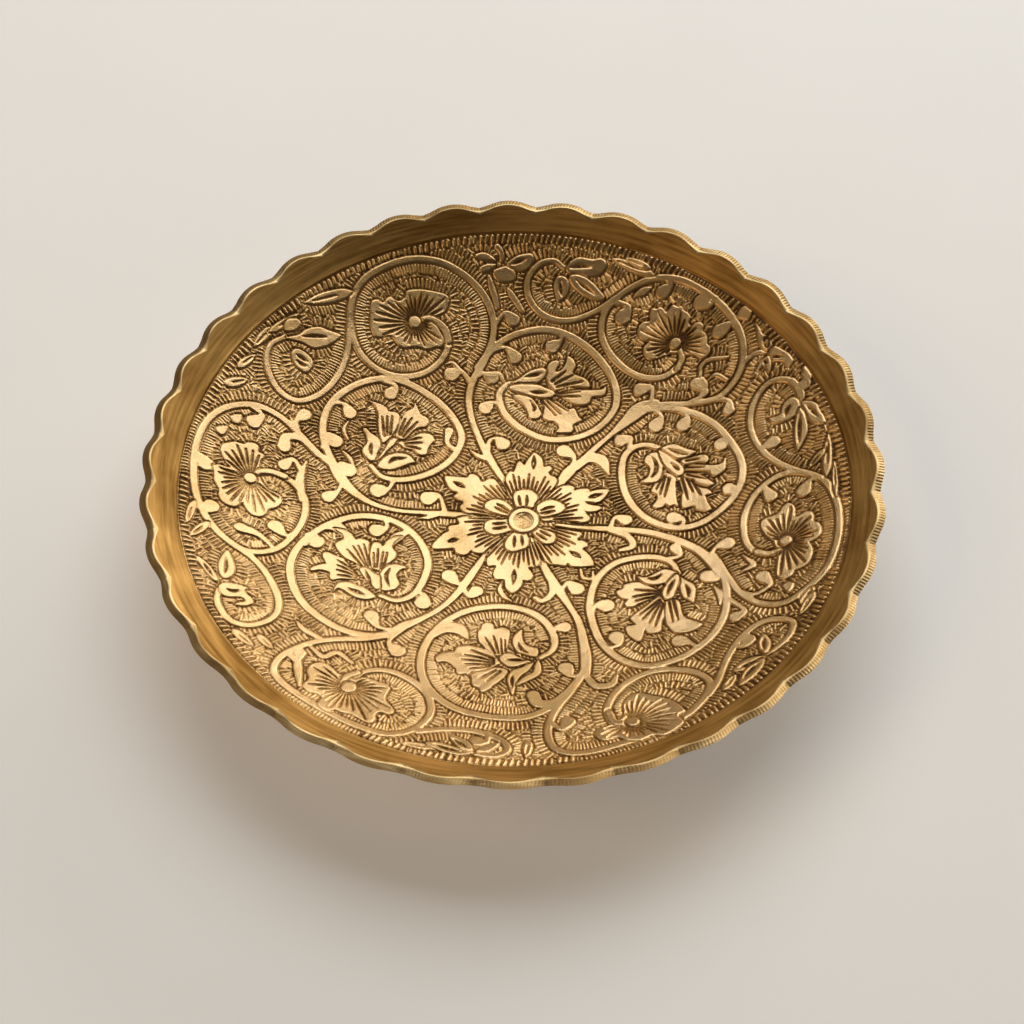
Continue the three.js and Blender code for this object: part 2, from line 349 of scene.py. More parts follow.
# stem to bud: path, bud radius
buds = [
    ([(-6.6, 20), (-6.2, 23.3), (-4.4, 24.3), (-2.8, 22.6)], 2.0),
    ([(-3.6, 34.5), (-5.5, 35), (-7.3, 33.4)], 2.0),
    ([(-9.8, 42.5), (-7.8, 43.4), (-5.7, 42.2)], 1.8),
    ([(-11.2, 40.5), (-13.7, 43.8), (-16.3, 42.8)], 2.0),
    ([(-5.5, 50.3), (-2, 50.8), (0.2, 48.2)], 1.9),
    ([(13, 54.6), (12.2, 52.6), (10, 51)], 1.9),
    ([(-5.3, 57), (-2.5, 60.3), (-0.3, 58.5)], 1.8),
    ([(14.2, 14), (15.5, 18), (12.9, 20.2)], 2.0),
    ([(29.5, 20), (30, 23), (27.6, 22.6)], 1.9),
    ([(35.5, 33), (35.7, 37), (32.8, 37)], 1.9),
    ([(45, 31.2), (49.3, 33.2), (47, 36.3)], 1.7),
    ([(50, 31), (54.5, 30), (54.6, 27)], 1.6),
    ([(36, 31), (37.8, 28.5), (36.5, 26)], 2.0),
    ([(42, 30), (44.3, 27.5), (43.3, 25)], 1.9),
    ([(55, 16.5), (54, 18.8), (52.3, 17.5)], 1.9),
    ([(56.2, 5), (55.6, 2.8), (53.5, 3.7)], 1.8),
    ([(41.5, -5.9), (42, -3.5), (39.7, -2.6)], 1.9),
    ([(58.8, 46), (56.8, 50.6), (53.4, 49.6)], 2.0),
    ([(52.5, 58.5), (51, 56.8), (48.9, 58.3)], 2.0),
    ([(40, 66.4), (41.2, 64.5), (39.2, 62.8)], 1.9),
    ([(26.5, 62), (30, 60.5), (28.7, 57.7)], 2.1),
    ([(24, -4.5), (25.5, -1), (28, -1.9)], 1.7),
    ([(47.5, -16.5), (49.3, -13.6), (52, -12.9)], 1.9),
    ([(50.2, -20), (48.8, -23.6), (46.6, -22.2)], 1.9),
    ([(37.5, -15.2), (40.6, -14.6), (39.7, -12.1)], 1.5),
    ([(18.8, -31), (20.2, -28), (22.4, -28.3)], 2.1),
    ([(22.3, -42), (25, -41.3), (24.5, -38.7)], 1.9),
    ([(43, -45), (41.4, -43), (39, -41.8)], 1.9),
    ([(51.4, -31), (54.2, -35), (52, -36.7)], 1.6),
    ([(53.8, -29), (57, -30.5), (60.5, -28.5), (59.2, -25.3)], 1.8),
    ([(59, 0.2), (61.4, 2), (63, -1)], 1.7),
    ([(74.5, 1), (72.4, 0.9), (70.6, -1.8)], 1.8),
    ([(63.3, 11.3), (62.3, 13.8), (64.7, 14.9)], 1.8),
    ([(11.5, -24), (13.4, -20.8), (15.5, -22.6)], 2.0),
    ([(9.8, -39), (10.2, -35.2), (12.4, -34.7)], 1.7),
    ([(16.5, -50), (14, -50.6), (12.6, -48)], 1.9),
    ([(9, -66), (11.3, -68.3), (12.8, -65.8)], 1.7),
    ([(-10.5, -19.5), (-13, -21.2), (-15.3, -18.9)], 2.0),
    ([(-12, -22.5), (-10.3, -25), (-8.7, -23.5)], 1.8),
    ([(-23.3, -24.5), (-21.3, -25), (-21.4, -27.6)], 2.1),
    ([(-26.5, -37), (-31.3, -36.6), (-33.3, -33.2)], 1.8),
    ([(-28, -39), (-28.6, -41.6), (-26.6, -43.7)], 2.0),
    ([(-31.5, -2.3), (-31.2, -5), (-33.5, -6.2)], 2.0),
    ([(-50.3, -13.5), (-50, -10.4), (-47.8, -12)], 2.1),
    ([(-51, -49), (-48.8, -51.3), (-48.4, -48.6)], 1.6),
    ([(-17, 1), (-18.6, 5.8), (-21.2, 5)], 2.2),
    ([(-42.5, 8), (-43.6, 4.4), (-45.8, 2.3)], 1.8),
    ([(-43.8, 10.5), (-43.4, 13), (-41.3, 11.2)], 2.0),
    ([(-48, 17), (-47.3, 20.8), (-45.2, 19.4)], 2.0),
    ([(-54.3, 19.8), (-54.9, 23), (-53, 25.4)], 1.7),
    ([(-53, 9), (-55, 11.6), (-57, 9.4)], 1.6),
    ([(-52.6, -10.5), (-55, -11.8), (-57.6, -9.7)], 1.9),
    ([(-75, -8.5), (-74.4, -10.2), (-72.6, -8.3)], 2.0),
    ([(-77.5, 3), (-76.8, 6), (-75, 4)], 2.0),
    ([(-66, 24.4), (-63.2, 22.4), (-65, 20)], 1.9),
    ([(-33.5, 39), (-30.6, 37.8), (-31.8, 35.6)], 1.8),
    ([(-46.3, 30.5), (-43.5, 30.6), (-42, 28.4)], 1.8),
    ([(-30, 10), (-31.3, 7), (-33.8, 6.2)], 2.2),
    ([(-14.2, 20), (-16.9, 22.2), (-16.6, 26)], 1.2),
    ([(-5, -69.6), (-5.3, -72.8), (-7.5, -72.4)], 1.6),
    ([(51, -46), (53.3, -46.6), (54.2, -44.8)], 1.7),
]

# curled leaves and hooks: path and half widths
curls = [
    ([(64.5, -31.6), (64.5, -30.9), (64.5, -30)], [0.5, 0.9, 1.4]),
    ([(-68.4, 20.6), (-68.8, 20), (-69.2, 19.4)], [0.5, 0.9, 1.4]),
    ([(-71.4, 16.2), (-71.9, 15.6), (-72.4, 15)], [0.5, 0.9, 1.3]),
    ([(70.1, 31), (71.6, 28.5), (72.1, 26), (71.6, 24)], [0.9, 0.9, 0.9, 0.7]),
    ([(72.1, 28.5), (73.6, 28.5), (73.6, 31), (72.9, 32)], [0.7, 0.8, 0.8, 0.5]),
    ([(-7, 18), (-9, 18.8), (-11, 20.4)], [0.9, 0.7, 0.2]),
    ([(16, 14.8), (19, 17.6), (22.4, 16.9), (24.2, 12.4)], [0.8, 1.3, 1.6, 0.3]),
    ([(24, -4.8), (28.3, -7), (29.4, -10.2), (26.4, -11.2)], [0.7, 0.9, 0.9, 0.6]),
    ([(9.2, -19), (9.7, -23.6), (7.4, -26.2), (5.5, -25.2)], [0.8, 0.9, 0.8, 0.6]),
    ([(17.3, -51), (19.4, -54.2), (22.8, -54.2), (24.2, -51.3)], [0.8, 1.0, 0.9, 0.4]),
    ([(13, -55.5), (9.5, -59.2), (6.2, -59.4), (5, -56.6)], [0.6, 1.0, 1.4, 1.5]),
    ([(-18.8, -38.2), (-16, -35.4), (-12.6, -35.4), (-10.4, -38.4)], [0.8, 1.6, 1.7, 0.3]),
    ([(-46, -7.2), (-42.6, -6.8), (-40.4, -10)], [0.7, 1.5, 0.4]),
    ([(-25.6, -5.6), (-28.6, -7.8), (-30.4, -11)], [0.6, 1.3, 0.5]),
    ([(-43.5, -43), (-48, -40.8), (-50, -38.4)], [0.6, 0.7, 0.2]),
    ([(-18, 0.2), (-21, -1), (-23.6, -1.4)], [0.6, 0.6, 0.2]),
    ([(-49, 14.5), (-53.4, 18.2), (-57, 17.8), (-57.4, 14.9)], [1.0, 1.0, 1.2, 1.7]),
    ([(-54.5, 20), (-56.8, 24.4)], [0.6, 0.2]),
    ([(-52, 0), (-53, 6), (-51.8, 12)], [0.9, 1.1, 0.2]),
    ([(-13.6, 43.4), (-16, 46), (-17.8, 45.6)], [0.6, 0.5, 0.2]),
    ([(-7.5, 43.4), (-4, 43.4), (-2.4, 41.2)], [0.5, 0.7, 0.2]),
    ([(55.3, -17.5), (57.4, -21), (54.8, -22.6)], [0.3, 0.8, 0.3]),
    ([(-57, -17), (-61, -13.5), (-65.5, -12.4)], [0.5, 0.8, 1.4]),
    ([(71.3, 29), (74, 30.5), (73.4, 33.5)], [0.6, 0.8, 0.6]),
    ([(59, 39.5), (62, 41.3), (65.8, 40.6)], [0.7, 0.6, 0.5]),
    ([(-46, -46), (-43, -48.6), (-40, -46.6), (-36.5, -49.3)], [0.4, 0.7, 0.7, 0.4]),
    ([(16.6, -16.6), (17.2, -19.2), (19.4, -19.6), (19.6, -17.4)], [0.3, 0.5, 0.5, 0.3]),
    ([(-2.7, -20.8), (-3, -22.8), (-1.8, -25), (-0.2, -26.2)], [0.2, 0.6, 0.6, 0.2]),
    ([(48, -25.8), (49.2, -28.6), (48.9, -31.8)], [0.3, 0.9, 0.2]),
    ([(-42.2, 25.8), (-43.2, 23), (-42, 20.4)], [0.2, 0.5, 0.3]),
    ([(-43.1, 16.7), (-41.4, 15), (-40.2, 12.5)], [0.3, 0.6, 0.3]),
    ([(48, 38.4), (48.4, 41), (50.6, 42.4), (55, 42)], [0.5, 0.6, 0.6, 0.4]),
    ([(47.8, 32.6), (49.3, 35.2), (48.4, 37.2)], [0.6, 0.6, 0.8]),
    ([(50, 36.8), (52, 37.8), (54.6, 35.8)], [0.3, 0.6, 0.5]),
    ([(31.8, 62.9), (34, 63.7), (36, 64.4)], [0.4, 1.1, 0.3]), ([(-48.9, -49), (-48.2, -53.5),
                                                                 (-47.2, -59.2)], [0.6, 1.0, 0.4]),
]

# leaves in the outer roundels: closed outlines, and the slots cut in them
roundelLeaves = [
    [13.8, 71.3, 14.3, 72.8, 15.5, 73.8, 17.5, 74.3, 19.5, 73.8, 21, 73.5, 23, 73.6, 24.3, 72.5, 24.3, 71,
     23, 69.5, 21, 69.1, 19, 69.3, 17, 69.8, 14.8, 70.3],
    [14.5, 69.3, 15.3, 67.3, 17, 65.5, 19, 64, 21.5, 63, 23.5, 62.8, 23.8, 63.8, 22.5, 65.5, 20.8, 67.5,
     18.5, 69.2, 16, 70],
    [11.5, 69.8, 10.5, 68, 10.8, 65.5, 11.5, 63.3, 13, 63.8, 14.3, 65.5, 14.5, 67.8, 13.5, 69.5],
    [71.7, 23.2, 70.1, 20.8, 67.6, 20, 65.4, 20.1, 64.1, 21.3, 64.2, 22, 65.6, 22, 66.9, 22.5, 67.4, 24.3,
     68.4, 25.8, 69.9, 26.3, 71.1, 25.5, 71.6, 24.3],
    [71.7, 22.8, 70.4, 20, 69.9, 17, 69.7, 14, 70.1, 10.5, 71.6, 12.5, 72.9, 15.3, 72.9, 18.5, 72.4, 21.3],
    [72.1, 24.3, 73.9, 24, 75.6, 22.5, 76.1, 20.5, 76.9, 18.5, 77.1, 16.5, 75.1, 16.8, 73.6, 18.5, 72.9, 21,
     72.1, 23],
    [57.2, -51, 55, -50.6, 52.7, -51.2, 51, -52.5, 50, -54.4, 52.7, -54.5, 55.2, -53.6, 57, -52.2],
    [57, -50, 56.2, -48.2, 56.4, -45.8, 57.6, -43.6, 58.8, -45.8, 58.8, -48, 58, -49.8],
    [56.6, -51.6, 54, -53, 51.9, -55.6, 50.8, -59.4, 53.4, -58, 55.8, -55.4, 57, -53],
    [-8, -76.3, -10.6, -77.4, -13.4, -76.8, -16, -75.6, -18.6, -73.8, -16.4, -73.2, -13.6, -74, -10.4,
     -75.4],
    [-8.2, -75.6, -10.4, -75.2, -12.4, -73.4, -13.6, -70.6, -11.2, -71.2, -9, -73],
    [-7.4, -75.9, -5, -76, -3.4, -74.8, -2.4, -73, -4.2, -73.2, -6.2, -74.2],
    [-67.6, -20.4, -68.6, -22.6, -69, -25.1, -68.4, -28.1, -67.2, -29.6, -65.7, -28.3, -65.2, -25.8, -66.2,
     -22.6],
    [-73.9, -24.6, -73.1, -26.6, -71.4, -28.6, -69.2, -31, -68.4, -30.8, -69.4, -28.6, -71.4, -26.1],
    [-68.1, -32.1, -66.9, -30.6, -63.9, -30.3, -61.9, -30.8, -62.4, -32.1, -60.4, -34.1, -60.2, -35.6,
     -61.9, -36.8, -63.9, -37.1, -63.4, -36.1, -61.9, -35.1, -62.9, -34.3, -65.9, -35.1, -67.4, -34.3],
    [-59.3, 47.6, -56.8, 48.2, -55.3, 50.2, -56.3, 51.5, -58.8, 50.6],
    [-58.8, 45.7, -55.8, 47.4, -53.8, 49.4, -50.8, 50.7, -48.3, 50.4, -45.1, 49.7, -46.3, 47.9, -48.8, 45.9,
     -51.8, 44.7, -54.3, 45.4, -56.3, 45.6],
    [-56.3, 43.4, -53.8, 42.9, -51.8, 40.9, -52.3, 38.4, -53.8, 37.4, -56.3, 38.9, -57.3, 41.4],
    [62, 49.9, 62.4, 48.4, 62.4, 46.8, 62.5, 45, 62.9, 43.4, 63.7, 42.1, 64.7, 41.2, 65.8, 41.8, 65.9, 43.2,
     65.1, 44.5, 64.6, 45.3, 63.7, 46.3, 63.3, 47.6, 62.6, 48.9],
    [65, 40.4, 66.1, 41.6, 66.8, 41.8, 68.2, 40.5, 69.5, 39.2, 70.5, 37.6, 70.8, 36.3, 70, 35, 68.9, 35.8,
     68.2, 37.1, 66.8, 37.6, 65.8, 38.2],
    [64.9, 39.7, 65.5, 38.2, 65.5, 36.3, 65, 35, 64.3, 36.3, 63.7, 37.4, 63.2, 36.8, 62.4, 36.3, 61.8, 36.8,
     62.6, 38.4, 63.7, 39.2],
    [57.9, 53.2, 58.7, 54.3, 60, 54.6, 61.3, 53.2, 61.3, 52.1, 60.5, 50.7, 59.2, 51.2, 57.9, 52.1],
    [-5.5, 71.5, -5.5, 70, -4, 68.7, -2, 68.5, 0, 69, 0.3, 70.5, -0.5, 72, -2, 72.6, -3.8, 72.2],
    [-2, 73.1, 0, 74.9, 2.5, 75.7, 4.5, 75.7, 5.2, 74.2, 4, 72.4, 2, 71.3, 0, 72],
    [-3.9, 73.8, -4.2, 76, -5.5, 77.5, -4.5, 78.2, -3.3, 77, -2.7, 75.2, -3, 73.8],
    [-5, 73, -7.5, 73, -9.5, 71.8, -8.5, 70.8, -6.5, 71.3],
    [-5, 74, -7, 75.6, -9, 75.9, -10.6, 75, -9, 74.2, -7, 73.8],
    [-7.1, 70.2, -6.2, 69.6, -4.6, 65.2, -4, 61.6, -4.9, 61.4, -5.6, 63.6, -6.8, 67.2],
    [-2, 67.2, -0.4, 66, 1.4, 63.4, 2.9, 60.6, 1.6, 60.8, -0.2, 63.2, -1.6, 65.4],
]
roundelSlots = [
    [14.8, 71.8, 17.5, 72, 20.5, 71.6], [16.5, 68.5, 18.5, 66.8, 21.3, 64.5],
    [12.3, 68.5, 12.3, 66.5, 12.5, 64.8],
    [68.1, 21.5, 68.6, 23, 69.9, 24.5], [71.5, 21, 71.1, 17, 70.7, 13], [73.1, 23.3, 74.4, 21, 75.4, 19],
    [51.6, -53.6, 53.6, -52.8, 55.8, -52], [57.6, -45.4, 57.4, -47, 57.3, -48.8],
    [52, -57.4, 53.6, -55.2, 55.4, -53.4],
    [-16.6, -74.2, -13.6, -75.4, -10.4, -76.4], [-12.6, -72, -11, -73.4, -9.4, -74.8],
    [-67.6, -22.9, -67.2, -25.4, -67.4, -27.8], [-72.2, -26.4, -71, -28, -69.6, -29.8],
    [-66.4, -32.6, -64.9, -32.9, -63.4, -32.1], [-54.8, 47.1, -51.8, 48, -48.8, 48.4],
    [-56, 41.8, -54.6, 41.2, -53.2, 40.6], [-55.8, 40.2, -54.8, 39.6, -53.4, 39.2],
    [65.7, 38.9, 67.1, 38.8, 68.4, 38.4], [64.4, 38.8, 64.2, 38.2, 64.1, 37.5],
    [-0.8, 73, 1, 73.8, 3, 74.4],
]

# solid long leaves near the border: base, tip, half width
sprays = [
    ((37, 67.5), (26, 73.2), 1.1), ((36, 69.3), (29.6, 72.9), 0.8), ((76, 0.5), (77.6, 13), 1.0),
    ((77.6, -6), (78.2, 4.5), 0.5),
    ((-42.6, 62), (-54.6, 56.2), 1.4), ((-62.5, 47.5), (-66.4, 41), 1.0), ((-63, 46), (-56, 53), 0.8),
    ((-70, 34), (-66, 38.8), 0.9), ((-72.6, 28.4), (-67.4, 31.4), 1.2), ((-76.4, -8), (-77.2, -15.4), 0.8),
    ((-72.6, -13.4), (-76, -19), 1.0),
    ((-63.5, -45), (-58.6, -49), 1.0), ((-58, -45), (-54.4, -48.6), 0.9), ((-16, -75.4), (-24, -74.4), 0.9),
    ((4, -72), (3.4, -77.6), 1.0),
    ((66.6, -36.5), (70, -32.2), 1.0), ((70, -33.8), (66, -40), 0.9), ((47.4, -60), (50.4, -55.6), 0.9),
    ((76.4, 9), (72.4, 4.6), 0.8),
]

# six fan-shaped flowers in the inner rings: closed outlines, and the slots and veins cut in them
fans = [
    {"petals": [
        [7.2, 36, 8, 34, 7.6, 32, 7.6, 30.4, 9.2, 29.4, 10.4, 29.2, 11.2, 28.4, 11.6, 27.2, 10.8, 26, 12.8,
         25.8, 14.8, 25.8, 15.4, 26.8, 15.4, 28, 17.6, 29.4, 16.8, 30.6, 16.2, 32, 15.6, 33.2, 14, 33, 10.8,
         35.6],
        [12, 36.8, 15.6, 34.4, 18, 33.8, 19.6, 34.4, 20.4, 36, 23.2, 36.2, 24, 37.6, 23.8, 39, 23, 38.2,
         20.4, 38.2, 18, 38.4, 16, 38.4, 10.6, 37.6],
        [10, 38.4, 14, 39.6, 18.8, 39, 19.8, 39.2, 19.4, 40.8, 18, 42, 15.6, 43.2, 15.6, 44, 16.2, 45.2,
         15.6, 47.2, 14, 48.2, 13.6, 46.4, 12.4, 44.4, 10.8, 44, 11.8, 46, 11.2, 47.2, 9.2, 46.4, 8.4, 44,
         8.6, 41.6]],
     "leaves": [
        [-0.4, 40.8, 1.6, 42.4, 3.6, 44, 6, 45, 8, 45, 8.4, 43.6, 7.6, 42, 6, 40.8, 3.2, 40.2],
        [-0.2, 37.2, 2, 37.6, 4, 37, 5.6, 35.2, 6.8, 32.8, 7.2, 31.6, 6.4, 30.4, 4.8, 30.2, 3.8, 30.8, 3.6,
         32, 2.4, 34.4, 0.8, 36],
        [-1.2, 39.2, 0.4, 40.4, 6, 40.4, 8, 39.6, 10, 38.6, 10.8, 37.6, 9.8, 36.6, 7.2, 36.4, 4.8, 37, 2,
         37.8]],
     "slots": [[4.4, 38.1, 6.4, 38.1, 8.6, 38], [4.4, 35.6, 5.4, 33.6, 5, 32.4],
               [3, 42.6, 5.6, 43.2, 7.2, 43.6]],
     "veins": [
        [6, 35.6, 7.6, 32], [7.2, 36, 10.8, 31.2], [8.4, 36, 12, 31.6], [9.6, 36, 14, 32.4],
        [11.2, 37.6, 17.2, 38],
        [11.2, 37, 17.2, 36.4], [11.2, 39.6, 18, 40.8], [10.8, 40.4, 15.6, 42.8], [10, 41.2, 13.6, 44]]},
    {"petals": [
        [37.8, 11.7, 36.1, 9.2, 34.8, 7.1, 34.6, 6, 35.9, 5, 35.7, 3.3, 34.6, 1.7, 35.7, 0.8, 37.3, 1, 38,
         1.9, 38.8, 1, 40.3, 1.3, 41.1, 0.8, 40.7, 3.3, 40.7, 6.7, 40.5, 10],
        [40.9, 10, 41.9, 5, 41.9, 0.2, 44.8, 0.2, 45, -0.8, 46.5, -1.7, 47.8, -2.1, 49, -1.5, 48.2, 0.8,
         47.8, 2.9, 49.2, 3.1, 49.2, 3.8, 48.2, 5, 46.5, 5.8, 44, 8.3, 42.3, 10],
        [42.8, 11.7, 45.7, 10, 49, 9.6, 49.4, 8.8, 50.7, 8.3, 52.8, 9.6, 53.2, 11.7, 53.2, 13.5, 52.3, 12.1,
         50.7, 11.7, 49, 12.1, 48, 12.3, 44.8, 12.9],
        [42.8, 13.3, 46.7, 13.3, 48.5, 12.8, 49, 13.3, 49, 14.6, 48, 15.4, 46.5, 15.4, 44, 15, 42.3, 14.6],
        [42.3, 10.4, 44.8, 7.9, 47.3, 6.3, 49, 5.6, 50, 6.2, 49, 7.5, 47.3, 9.2, 44.8, 10.4]],
     "leaves": [
        [35, 17.9, 33.6, 16.9, 33.2, 15.4, 34.2, 14, 34.4, 12.5, 33.8, 10.8, 31.9, 9.6, 33, 9, 34.8, 8.8,
         36.5, 9.2, 37.3, 10.8, 37.7, 12.9, 37.8, 14.6, 37.3, 16.3, 36.7, 17.9],
        [37.8, 19.2, 40.7, 19.8, 44, 17.9, 46.1, 16.7, 44.4, 15.6, 41.9, 15.2, 39.8, 16, 38.2, 17.9],
        [36.8, 18.4, 37.4, 15.6, 38.4, 13.2, 40, 11.2, 41.4, 10, 42.6, 10.4, 42.8, 12.2, 41.6, 14.2, 39.8,
         16, 38, 17.8]],
     "slots": [[40, 14, 40.9, 12.8, 41.6, 11.8], [35.2, 16.6, 36.1, 14.4, 35.9, 12.1, 34.7, 10.3],
               [39.4, 18.5, 41.5, 17.3, 43.8, 16.2]],
     "veins": [
        [37.5, 10, 35.9, 6.7], [38.2, 10.4, 36.7, 5], [39.2, 9.6, 37.8, 4.2], [41.5, 8.3, 42.3, 4.6],
        [42.3, 9.2, 43.4, 2.5], [43.6, 8.8, 44.8, 4.6], [44.8, 8.3, 46.5, 3.3], [43.6, 14.4, 46.7, 14.4],
        [42.8, 12.5, 47.8, 11.7], [43.2, 11.2, 49, 9.9], [43.6, 10.2, 48.2, 8.1]]},
    {"petals": [
        [35.3, -25.3, 33, -23.2, 30.8, -21.6, 27, -22, 26.6, -23.2, 25.1, -23.9, 25.3, -25.3, 26.6, -26.6,
         27.6, -26.8, 26.8, -28, 27.2, -29.1, 28.7, -29.3, 30.3, -28.5, 31.6, -27.8, 33.7, -26.6],
        [34.9, -27, 31.2, -29.9, 29.1, -31.6, 28, -32.8, 28.5, -34.1, 29.1, -35.1, 27, -35.3, 26.8, -36.6,
         27.4, -38.3, 28.7, -39.9, 30, -40.6, 30.8, -38.7, 31.4, -36.6, 31.6, -37.8, 33.3, -38.5, 34.9,
         -37.8, 35.3, -35.3, 36.2, -32, 36.2, -28.7],
        [36.6, -28.7, 36.2, -35.3, 36.6, -36.6, 37.8, -38.7, 39.9, -39.3, 42, -39.1, 43.7, -38.3, 44.3, -37,
         42, -35.3, 40.3, -33.5, 39.5, -28.7]],
     "leaves": [
        [39.7, -19.9, 37, -18.3, 34.9, -19.1, 32.4, -20.3, 30.3, -19.7, 30.8, -21, 32.4, -22.4, 34.9, -23,
         37.4, -22.4, 39, -21],
        [39.9, -20.8, 41.6, -22.4, 43.3, -24.1, 43.7, -26.2, 43.3, -28.7, 43, -30, 41.8, -29, 40.5, -27.5,
         40.1, -25, 40, -22.8],
        [39.7, -20.3, 37.8, -22, 36.2, -24.5, 35.8, -26.2, 36.4, -27.8, 37.4, -28, 38.3, -27.4, 39.5, -24.5,
         40.1, -22]],
     "slots": [[39, -22, 37.8, -24.2, 37, -26.4], [32.6, -20.6, 34.4, -21, 36.2, -19.8],
               [41.4, -24, 42, -26, 41.8, -28]],
     "veins": [
        [35.3, -25.1, 29.5, -24], [34.9, -25.5, 28.9, -26.2], [34.9, -26.2, 29.5, -27.6],
        [35.3, -27.8, 30.3, -32],
        [35.3, -28.3, 30.8, -33.7], [35.5, -28.7, 32.4, -34.9], [36, -29.1, 33.7, -36.2],
        [37.4, -28.7, 37.8, -35.3],
        [38.3, -28.3, 39.1, -34.9]]},
    {"petals": [
        [0.6, -43.2, -1, -41.2, -0.8, -39.2, -0.5, -37.2, -0.5, -35.6, -1.4, -34.7, -2.6, -34.5, -3.8, -35,
         -4.3, -34.6, -4.5, -33.6, -5.4, -33.1, -6.5, -33.3, -7.2, -34.2, -7.4, -35.2, -8, -35.8, -8, -38,
         -7.6, -39.4, -6.8, -40.4, -5.8, -42, -4.2, -43.6],
        [-3.4, -47.6, -6.2, -48.4, -9, -49.6, -9.2, -51.6, -8.8, -53.6, -7.4, -54.4, -6.8, -55.8, -5, -54.8,
         -4.2, -53.6, -2.6, -52, -1.4, -50.4, -1, -48.4],
        [-4.2, -43.6, -6.2, -41.8, -7.8, -41, -9.8, -40.6, -11.8, -40.8, -13, -41.4, -13.4, -42.6, -14.6,
         -42.8, -16.4, -43.4, -17.6, -44.8, -17.6, -45.8, -17, -46.6, -15.8, -46.2, -14.4, -46.6, -13.6,
         -47.6, -12.8, -48.4, -12.6, -49.8, -11.4, -50.2, -10.4, -49.8, -10, -50.4, -9.2, -49.2, -7.8,
         -48.6, -6.2, -48, -4.2, -47.2, -2.6, -46]],
     "leaves": [
        [5.8, -44, 2.6, -43, 1.4, -42.4, 0.4, -40.4, 0.2, -38.4, 1, -36.4, 2.4, -35.2, 2.4, -37, 3, -39.6,
         4.6, -40.8, 6.2, -41.4],
        [5, -45.5, 2.6, -47.4, 0.2, -48.6, -0.9, -51, -0.6, -53.6, 0.4, -56.6, 1, -53.4, 2, -50.6, 4.2,
         -48.2],
        [6.2, -45, 6.9, -47.2, 6.6, -49.8, 4.4, -51.6, 1.2, -53.4, 2.6, -51, 5, -49, 5.4, -47],
        [4.6, -45.6, 2.2, -44.4, -0.2, -43, -1.8, -43.2, -2.8, -44.6, -2, -46, -0.6, -47.2, 1, -47.2, 3.8,
         -46]],
     "slots": [[-1.4, -45, 1.4, -45.1, 3.8, -45], [1.4, -39.2, 2.2, -41.4, 4, -42.8],
               [0.3, -50.2, 0.2, -52, 0.4, -54]],
     "veins": [
        [-2.2, -43, -2.6, -38.2], [-3, -42.8, -4.4, -37.4], [-3.9, -42.8, -6.3, -37.8],
        [-1.4, -42.4, -1.6, -38.6],
        [-4.2, -44.6, -9.6, -42], [-4.2, -45.2, -11, -43.6], [-4.2, -45.8, -11.6, -45.2],
        [-4.2, -46.4, -11, -46.8],
        [-5, -47, -9.8, -48.3], [-3.6, -48.6, -7.4, -51.2], [-2.6, -48.8, -5.6, -52.2]]},
    {"petals": [
        [-37.3, -22, -41.4, -22.8, -43.1, -23.5, -43.9, -22.4, -43.9, -21.2, -46, -20.8, -48.1, -21.6,
         -48.5, -21, -47.7, -19.9, -45.6, -18.7, -45, -18.5, -46, -16.2, -45.6, -14.9, -44.3, -14.9, -43.1,
         -15.5, -41, -16.2, -40.2, -17.4, -37.7, -20.3],
        [-34.3, -10.3, -32.7, -9.9, -31.8, -10.8, -31, -9.1, -29.3, -7.8, -27.3, -7.4, -28.5, -8.7, -29.5,
         -10.8, -28.5, -12.4, -28.5, -14.1, -29.8, -15.8, -31.4, -17.8, -32.3, -18.7, -33.9, -17.8, -34.8,
         -14.1],
        [-40.2, -16.2, -42.3, -14.1, -43.3, -12, -42.3, -10.8, -41.4, -9.9, -41.8, -8.7, -43.9, -7.2, -41.4,
         -7.2, -39.8, -7.8, -38.5, -9.5, -37.3, -9.1, -35.2, -9.9, -35.2, -12.4, -35.2, -16.2, -35.6,
         -17.8]],
     "leaves": [
        [-32.7, -27, -34.3, -25.3, -36.4, -24.1, -39.3, -23.3, -41.4, -23.9, -42.3, -25.3, -42.5, -27,
         -41.6, -25.8, -40.2, -26.2, -37.7, -27.8, -35.2, -28.3, -33.1, -27.6],
        [-31, -24.9, -32.5, -23.3, -32.3, -20.3, -31, -17.4, -29.3, -16.2, -26.8, -16.2, -25.8, -17.2,
         -26.8, -17.6, -27.7, -18.7, -28.1, -19.9, -27.3, -22, -27.7, -23.7, -28.9, -24.5],
        [-37, -18.7, -35.6, -18, -33.9, -19.1, -32.3, -20.3, -32, -22, -31.8, -24.1, -32.7, -24.7, -34.3,
         -22.8, -36, -20.8]],
     "slots": [[-35.6, -18.9, -34.6, -21.5, -34, -23.8], [-29.6, -17.6, -30.5, -20.3, -29.6, -23.3],
               [-39.3, -25.3, -37.3, -26, -35.2, -26.8]],
     "veins": [
        [-37.5, -19.7, -42.3, -17], [-37.5, -20.3, -42.3, -18.5], [-37.5, -21, -42.3, -20],
        [-37.5, -21.6, -42, -21.6],
        [-36, -18.2, -40.2, -13.3], [-35.6, -17.4, -38.9, -12], [-35.2, -17.4, -37.7, -11.6],
        [-35, -16, -36.4, -11],
        [-33.5, -17.4, -33.9, -13.3], [-32.9, -17.4, -32.9, -12], [-32, -17.8, -31.6, -12.8],
        [-31.4, -17.4, -30.6, -12.8]]},
    {"petals": [
        [-33.1, 20.8, -34.3, 23.3, -34.8, 26.7, -34.8, 28.3, -35.2, 30.4, -36.4, 32.1, -38.1, 32.9, -35.6,
         32.5, -33.9, 32.1, -32.7, 31.3, -32.3, 30.4, -31, 30.4, -29.8, 30, -29.3, 28.3, -30.6, 24.2],
